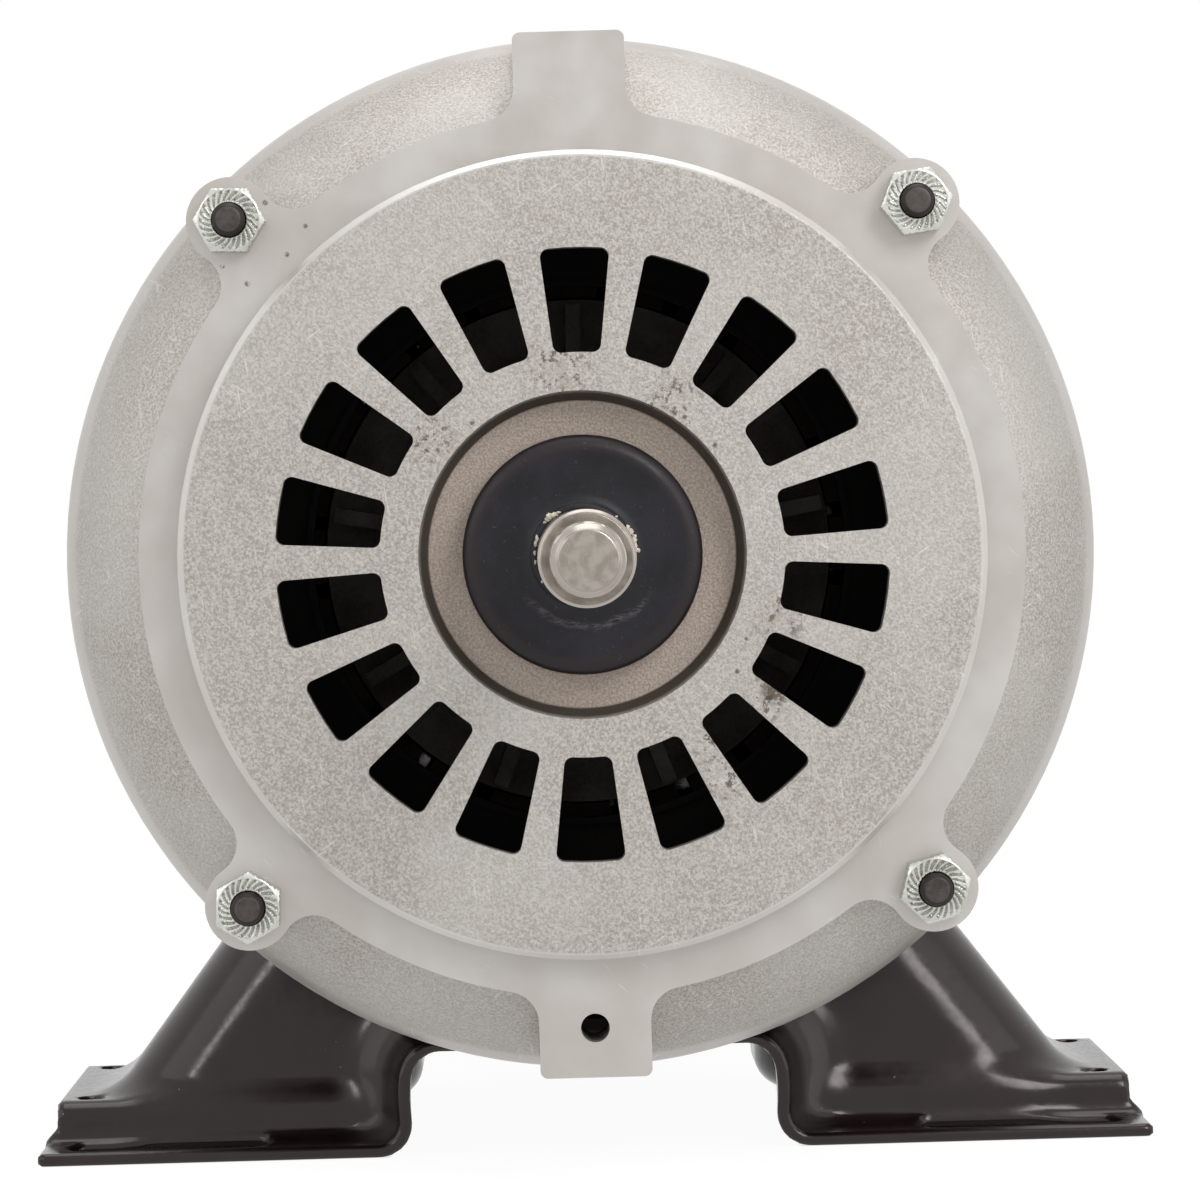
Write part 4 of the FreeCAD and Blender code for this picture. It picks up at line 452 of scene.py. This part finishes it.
def spun(rows, segments, spot=(0.0, 0.0)):
    """Points and faces of a form turned round an axis along Y.

    Each row is a radius and a Y, each of them one number or one for each segment."""
    turn = np.arange(segments) * 2 * np.pi / segments
    points, faces, last = [], [], None
    for radius, y in rows:
        if np.ndim(radius) == 0 and radius == 0:
            row = [len(points)]
            points.append((spot[0], float(y), spot[1]))
        else:
            row = list(range(len(points), len(points) + segments))
            x, z = spot[0] + radius * np.cos(turn), spot[1] + radius * np.sin(turn)
            points += list(zip(x, np.broadcast_to(y, segments), z))
        if last:
            for k in range(segments):
                n = (k + 1) % segments
                corners = [last[k % len(last)], last[n % len(last)], row[n % len(row)], row[k % len(row)]]
                faces.append(list(dict.fromkeys(corners)))
        last = row
    return points, faces


def joined(name, parts):
    """One piece from several lists of points and faces, its normals outward."""
    points, faces = [], []
    for some, theirs in parts:
        faces += [[corner + len(points) for corner in face] for face in theirs]
        points += list(some)
    thing = piece(name, points, faces)
    form = bmesh.new()
    form.from_mesh(thing.data)
    bmesh.ops.recalc_face_normals(form, faces=form.faces)
    form.to_mesh(thing.data)
    form.free()
    return thing


def thread_rows(radius, depth, pitch, start, end, segments, chamfer):
    """Rows of a right-hand thread between two values of Y, tapered over the chamfer at its start."""
    turn = np.arange(segments) / segments
    rows = []
    for y in np.arange(start, end, pitch / 10):
        phase = np.mod(y / pitch + turn, 1.0)
        flank = np.clip((np.abs(phase - 0.5) * 2 - 0.15) / 0.65, 0, 1)
        rows.append((np.minimum(radius - depth * flank, radius - chamfer + (y - start)), y))
    return rows


def blob(centre, size, seed):
    """Points and faces of a small rough lump."""
    form = bmesh.new()
    bmesh.ops.create_icosphere(form, subdivisions=2, radius=1.0)
    bend = np.random.default_rng(seed).uniform(-1, 1, (3, 3)) * 2.2
    points = []
    for vert in form.verts:
        spot = np.array(vert.co)
        lump = 1 + 0.3 * np.sin(bend[0] @ spot * 2) * np.cos(bend[1] @ spot * 2)
        lump += 0.12 * np.sin(bend[2] @ spot * 5)
        points.append(tuple(np.array(centre) + spot * lump * size))
    faces = [[vert.index for vert in face.verts] for face in form.faces]
    form.free()
    return points, faces


def round_union(first, second, radius):
    """Two distance fields joined with a fillet of that radius."""
    return np.maximum(radius, np.minimum(first, second)) - np.hypot(np.maximum(radius - first, 0),
                                                                    np.maximum(radius - second, 0))


def round_overlap(first, second, radius):
    """What two distance fields share, with its edge rounded to that radius."""
    return np.minimum(-radius, np.maximum(first, second)) + np.hypot(np.maximum(radius + first, 0),
                                                                     np.maximum(radius + second, 0))


def skin(name, field, low, high, step):
    """The surface where a field of x, y, z in millimetres is zero, as even quads."""
    axes = [np.arange(a, b + step, step) for a, b in zip(low, high)]
    grid = np.meshgrid(*axes, indexing="ij")
    values = field(*grid)
    inside = values < 0
    shape = np.array(values.shape)

    # each cell that the surface crosses gets the mean of the crossings on its edges
    total = np.zeros(tuple(shape - 1) + (3,))
    count = np.zeros(tuple(shape - 1))
    crossings = []
    for axis in range(3):
        near = tuple(slice(None, -1) if k == axis else slice(None) for k in range(3))
        far = tuple(slice(1, None) if k == axis else slice(None) for k in range(3))
        changed = inside[near] != inside[far]
        spots = np.argwhere(changed)
        a, b = values[near][changed], values[far][changed]
        place = spots.astype(float)
        place[:, axis] += a / (a - b)
        crossings.append((axis, spots, inside[near][changed]))
        others = [k for k in range(3) if k != axis]
        for one in (0, 1):
            for two in (0, 1):
                cell = spots.copy()
                cell[:, others[0]] -= one
                cell[:, others[1]] -= two
                good = np.all((cell >= 0) & (cell < shape - 1), axis=1)
                key = tuple(cell[good].T)
                np.add.at(total, key, place[good])
                np.add.at(count, key, 1)
    used = count > 0
    number = np.full(count.shape, -1)
    number[used] = np.arange(used.sum())
    points = total[used] / count[used][:, None] * step + np.array([a[0] for a in axes])

    # the points are drawn onto the surface along its slope
    for _ in range(3):
        here = field(*points.T)
        slope = np.stack([field(*(points + shift).T) - field(*(points - shift).T)
                          for shift in np.eye(3) * 0.05], axis=1) / 0.1
        size = np.maximum((slope ** 2).sum(axis=1), 0.25)
        points -= np.clip((here / size)[:, None] * slope, -step / 2, step / 2)

    # each crossed edge gives a face between the four cells round it
    faces = []
    for axis, spots, start_inside in crossings:
        u, v = [(1, 2), (2, 0), (0, 1)][axis]
        corners = []
        for one, two in ((1, 1), (0, 1), (0, 0), (1, 0)):
            cell = spots.copy()
            cell[:, u] -= one
            cell[:, v] -= two
            corners.append(cell)
        good = np.all([np.all((c >= 0) & (c < shape - 1), axis=1) for c in corners], axis=0)
        quad = np.stack([number[tuple(c[good].T)] for c in corners], axis=1)
        quad[~start_inside[good]] = quad[~start_inside[good]][:, ::-1]
        faces += quad.tolist()
    return piece(name, points, faces)


def base_field(x, y, z):
    """Distance to the pressed base: one sheet drawn over legs, platforms and tunnel, then trimmed."""
    side, deep, up = np.abs(x), np.abs(y - PLATFORM_MIDDLE), z - FOOT
    from_axis = np.hypot(x, z)

    # the form that the sheet is drawn over
    slant = (side - LEG_X) * math.cos(LEG_LEAN) + (z - LEG_Z) * math.sin(LEG_LEAN)
    platform = round_overlap(up - PLATFORM_UP, deep - PLATFORM_DEEP, 2.6)
    leg = round_overlap(slant, (deep - LEG_DEEP + 0.13 * (up - PLATFORM_UP)) * 0.992, 12.0)
    leg = round_overlap(leg, SHELL_R - from_axis, 1.2)
    wave = 0.22 * np.sin((z + 62.0) * 0.42) * np.clip((50.0 - y) / 8, 0, 1)
    tunnel = round_overlap(side - TUNNEL_HALF + wave, z + SHELL_R, 6.0)
    body = round_union(leg, tunnel, 11.0)
    ground = round_union(up - SHEET, platform, 1.8)
    form = np.maximum(round_union(body, ground, 3.5), SHELL_R - from_axis)
    sheet = np.maximum(form, -(form + SHEET))

    # its outline, slots and holes
    rise = np.clip((up - SHEET) / 2.5, 0, 1)
    ends = side - BASE_HALF + 1.75 * rise * rise * (3 - 2 * rise)
    outline = np.maximum(ends, np.abs(y - BASE_MIDDLE) - (BASE_BACK - BASE_FRONT) / 2)
    outline = np.maximum(outline, -up - 0.6)
    for slot_y in SLOT_YS:
        slot = np.hypot(np.maximum(np.abs(side - SLOT_X) - SLOT_STRAIGHT, 0), y - slot_y) - SLOT_R
        slot = np.maximum(slot, 1.75 - np.abs(deep - PLATFORM_DEEP))
        outline = np.maximum(outline, -np.maximum(slot, up - 2.3))
    for hole_y in HOLE_YS:
        outline = np.maximum(outline, HOLE_R - np.hypot(side - HOLE_X, y - hole_y))
    return round_overlap(sheet, outline, 0.6)


base = skin("mounting_base_pressed", base_field, (-84, 40.5, FOOT - 1), (84, 127.2, -46), 0.8)
finished(base, "mounting_base")

for node, width in (("front_end_bell", 0.3), ("rear_end_bell", 0.3), ("rear_cover", 0.2),
                    ("motor_shell", 0.15), ("bonding_lug", 0.25), ("conduit_plug", 0.2)):
    dressed(node, width)
dressed("thru_bolts", 0.12, BOLT_SEAT)
dressed("shaft", 0.1, DRIVE_END)

# the drive end of the shaft, with its thread, undercut and shoulder
drive = [(0, SHAFT_TIP), (1.6, SHAFT_TIP), (3.1, SHAFT_TIP), (3.6, SHAFT_TIP), (3.72, -70.97), (3.84, -70.88),
         (4.5, -70.25), (4.58, -70.1)]
drive += thread_rows(STUD_R, 0.86, 1.5875, -69.95, -57.2, 96, 0.15)
drive += [(4.3, -57.0), (UNDERCUT_R, -56.8), (UNDERCUT_R, -55.3), (4.32, -55.08), (4.5, SHOULDER),
          (5.1, SHOULDER), (5.7, SHOULDER), (5.78, -54.98), (6.3, -54.46), (SHAFT_R, -54.35),
          (SHAFT_R, -48.0), (SHAFT_R, DRIVE_END), (0, DRIVE_END)]
finished(joined("shaft_drive_end", [spun(drive, 96)]), "shaft", 38)

# the slinger, dished a little, with a soft rim and a lip that hugs the shaft
disc = [(SLINGER_BORE, -1.0), (15.9, -1.0), (16.4, -1.15), (SLINGER_R, -1.6), (SLINGER_R, -4.4),
        (16.45, -4.9), (16.05, -5.4), (15.4, -5.85), (14.8, -5.98), (14.2, -5.96), (13.4, -5.86),
        (11.0, -5.84), (8.6, -5.86), (7.5, -5.95), (7.2, -6.3), (7.0, -6.6), (6.7, -6.75), (6.42, -6.75),
        (6.36, -6.52), (SLINGER_BORE, -6.51), (SLINGER_BORE, -1.0)]
finished(joined("slinger_moulded", [spun(disc, 128)]), "slinger", 60)

# the governor's spring, which gives way to the collar towards its fixed end
coil = linked("governor_spring_coil", frame["nodes"]["governor_spring"].data.copy())
finished(coil, "governor_spring", 30)
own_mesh(coil)

# bolt ends with their thread, and nuts whose outer face is cut into teeth, each nut turned as it was left
NUT_TURNS = {(-1, 1): 2.0, (1, 1): -8.0, (-1, -1): 32.0, (1, -1): 45.0}
ends, nuts = [], []
around = np.arange(288) * 2 * np.pi / 288
for (right, up), angle in NUT_TURNS.items():
    spot = (right * BOLT, up * BOLT)
    rows = [(0, BOLT_TIP), (1.2, BOLT_TIP), (1.62, BOLT_TIP), (1.74, -5.56), (2.2, -5.12), (2.26, -5.02)]
    rows += thread_rows(2.31, 0.36, 0.79, -4.95, BOLT_SEAT, 48, 0.06) + [(2.3, BOLT_SEAT), (0, BOLT_SEAT)]
    ends.append(spun(rows, 48, spot))
    flats = np.mod(around + math.radians(angle), math.pi / 3) - math.pi / 6
    hexagon = NUT_R / np.cos(flats)
    rows = [(NUT_BORE, 0.0), (NUT_BORE, -3.2), (2.42, -3.4)]
    for radius in np.linspace(2.5, 4.06, 11):
        tooth = np.mod(24 * (around / (2 * np.pi) + 0.035 * (radius - 2.7)), 1.0)
        blade = np.clip(np.minimum(tooth / 0.55, (1 - tooth) / 0.45) * 1.5, 0, 1)
        depth = 0.46 * np.clip((radius - 2.3) / 0.4, 0.5, 1) * np.clip((4.12 - radius) / 0.12, 0, 1)
        rows.append((radius, NUT_FACE + depth * (1 - blade)))
    for radius, y in ((4.13, NUT_FACE), (4.26, -3.78), (NUT_R, -3.72), (4.6, -3.58), (4.85, -3.42),
                      (5.05, -3.3)):
        rows.append((np.minimum(radius, hexagon), y))
    rows += [(hexagon, -2.4), (hexagon, -0.9), (hexagon - 0.02, -0.05), (hexagon - 0.1, 0.0), (NUT_BORE, 0.0)]
    nuts.append(spun(rows, 288, spot))
finished(joined("thru_bolt_ends", ends), "thru_bolts", 38)
finished(joined("toothed_nuts", nuts), "thru_bolt_nuts", 24)

# crumbs of dried sealant round the shaft, where the slinger grips it
dice = np.random.default_rng(5)
lumps = []
for seed, (degrees, reach, wide, high) in enumerate(CRUMBS):
    size = np.array([wide, dice.uniform(0.16, 0.3), high])
    angle = math.radians(degrees)
    lumps.append(blob((reach * math.cos(angle), -6.65 - dice.uniform(0, 0.3), reach * math.sin(angle)),
                      size, seed))
sealant = joined("sealant_crumbs", lumps)
sealant.data.materials.append(dried_sealant())
sealant.data.polygons.foreach_set("use_smooth", [True] * len(sealant.data.polygons))
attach(sealant, BODIES["slinger"])

for node, thing in frame["nodes"].items():
    thing.data.materials.clear()
    thing.data.materials.append(MATERIALS[SLOTS[node]])


def white_paper():
    """Paper that the camera and glossy surfaces see as white light, apart from what lies under the base."""
    paper = bpy.data.materials.new("white_paper")
    paper.use_nodes = True
    tree = paper.node_tree
    tree.nodes.clear()
    place = add_node(tree, "ShaderNodeTexCoord", {}, "Object")
    middle = add_node(tree, "ShaderNodeVectorMath", {0: place, 1: (0, BASE_MIDDLE * MM, 0)},
                      operation="SUBTRACT")
    axes = tree.nodes.new("ShaderNodeSeparateXYZ")
    tree.links.new(add_node(tree, "ShaderNodeVectorMath", {0: middle}, operation="ABSOLUTE"), axes.inputs[0])

    # the floor is open beyond the ends of the base, in its tunnel, and before and behind it
    edges = [add_node(tree, "ShaderNodeMapRange", {"Value": axes.outputs[axis], "From Min": start * MM,
                                                   "From Max": end * MM})
             for axis, start, end in ((0, 79.0, 82.0), (0, 34.0, 30.0), (1, 39.0, 42.0))]
    glowing = add_node(tree, "ShaderNodeMath", {0: greatest(tree, *edges), 1: 0.85}, operation="MULTIPLY")
    rays = tree.nodes.new("ShaderNodeLightPath")
    seen = greatest(tree, rays.outputs["Is Camera Ray"], rays.outputs["Is Glossy Ray"])
    share = add_node(tree, "ShaderNodeMath", {0: seen, 1: glowing}, operation="MULTIPLY")
    matte = add_node(tree, "ShaderNodeBsdfDiffuse", {"Color": (0.6, 0.6, 0.6, 1)})
    glow = add_node(tree, "ShaderNodeEmission", {"Color": (1, 1, 1, 1), "Strength": 1.12})
    blend = add_node(tree, "ShaderNodeMixShader", {0: share, 1: matte, 2: glow})
    tree.links.new(blend, tree.nodes.new("ShaderNodeOutputMaterial").inputs[0])
    return paper


floor_mesh = bpy.data.meshes.new("floor")
floor_corners = [(x, y, FOOT * MM) for x, y in ((-6, -6), (6, -6), (6, 6), (-6, 6))]
floor_mesh.from_pydata(floor_corners, [], [(0, 1, 2, 3)])
floor = linked("floor", floor_mesh)
floor.data.materials.append(white_paper())

# the world is white to the camera, to gloss and through glass, and half as bright to matte surfaces
world = bpy.data.worlds.new("studio")
bpy.context.scene.world = world
world.use_nodes = True
tree = world.node_tree
rays = tree.nodes.new("ShaderNodeLightPath")
direct = greatest(tree, rays.outputs["Is Camera Ray"], rays.outputs["Is Glossy Ray"],
                  rays.outputs["Is Transmission Ray"])
level = add_node(tree, "ShaderNodeMapRange", {"Value": direct, "To Min": 0.5, "To Max": 1.0})
back = tree.nodes["Background"]
back.inputs["Color"].default_value = (1, 1, 1, 1)
tree.links.new(level, back.inputs["Strength"])

for name, spot, aim, size, watts in LAMPS:
    light = bpy.data.lights.new(name, "AREA")
    light.shape = "RECTANGLE"
    light.size, light.size_y = size
    light.energy = watts
    lamp = linked(name, light)
    lamp.location = spot
    lamp.rotation_mode = "QUATERNION"
    lamp.rotation_quaternion = (Vector(aim) - Vector(spot)).to_track_quat("-Z", "Y")

lens = bpy.data.cameras.new("camera")
lens.sensor_width = 36.0
lens.lens = CAMERA_LENS
lens.shift_x, lens.shift_y = CAMERA_SHIFT
lens.clip_start = 0.02
lens.clip_end = 50.0
camera = linked("camera", lens)
rightward = Vector((math.cos(CAMERA_ROLL), 0, -math.sin(CAMERA_ROLL)))
upward = Vector((math.sin(CAMERA_ROLL), 0, math.cos(CAMERA_ROLL)))
facing = Matrix((rightward, upward, rightward.cross(upward))).transposed().to_4x4()
camera.matrix_world = Matrix.Translation(CAMERA_SPOT) @ facing
bpy.context.scene.camera = camera
bpy.context.scene.view_settings.view_transform = "Standard"
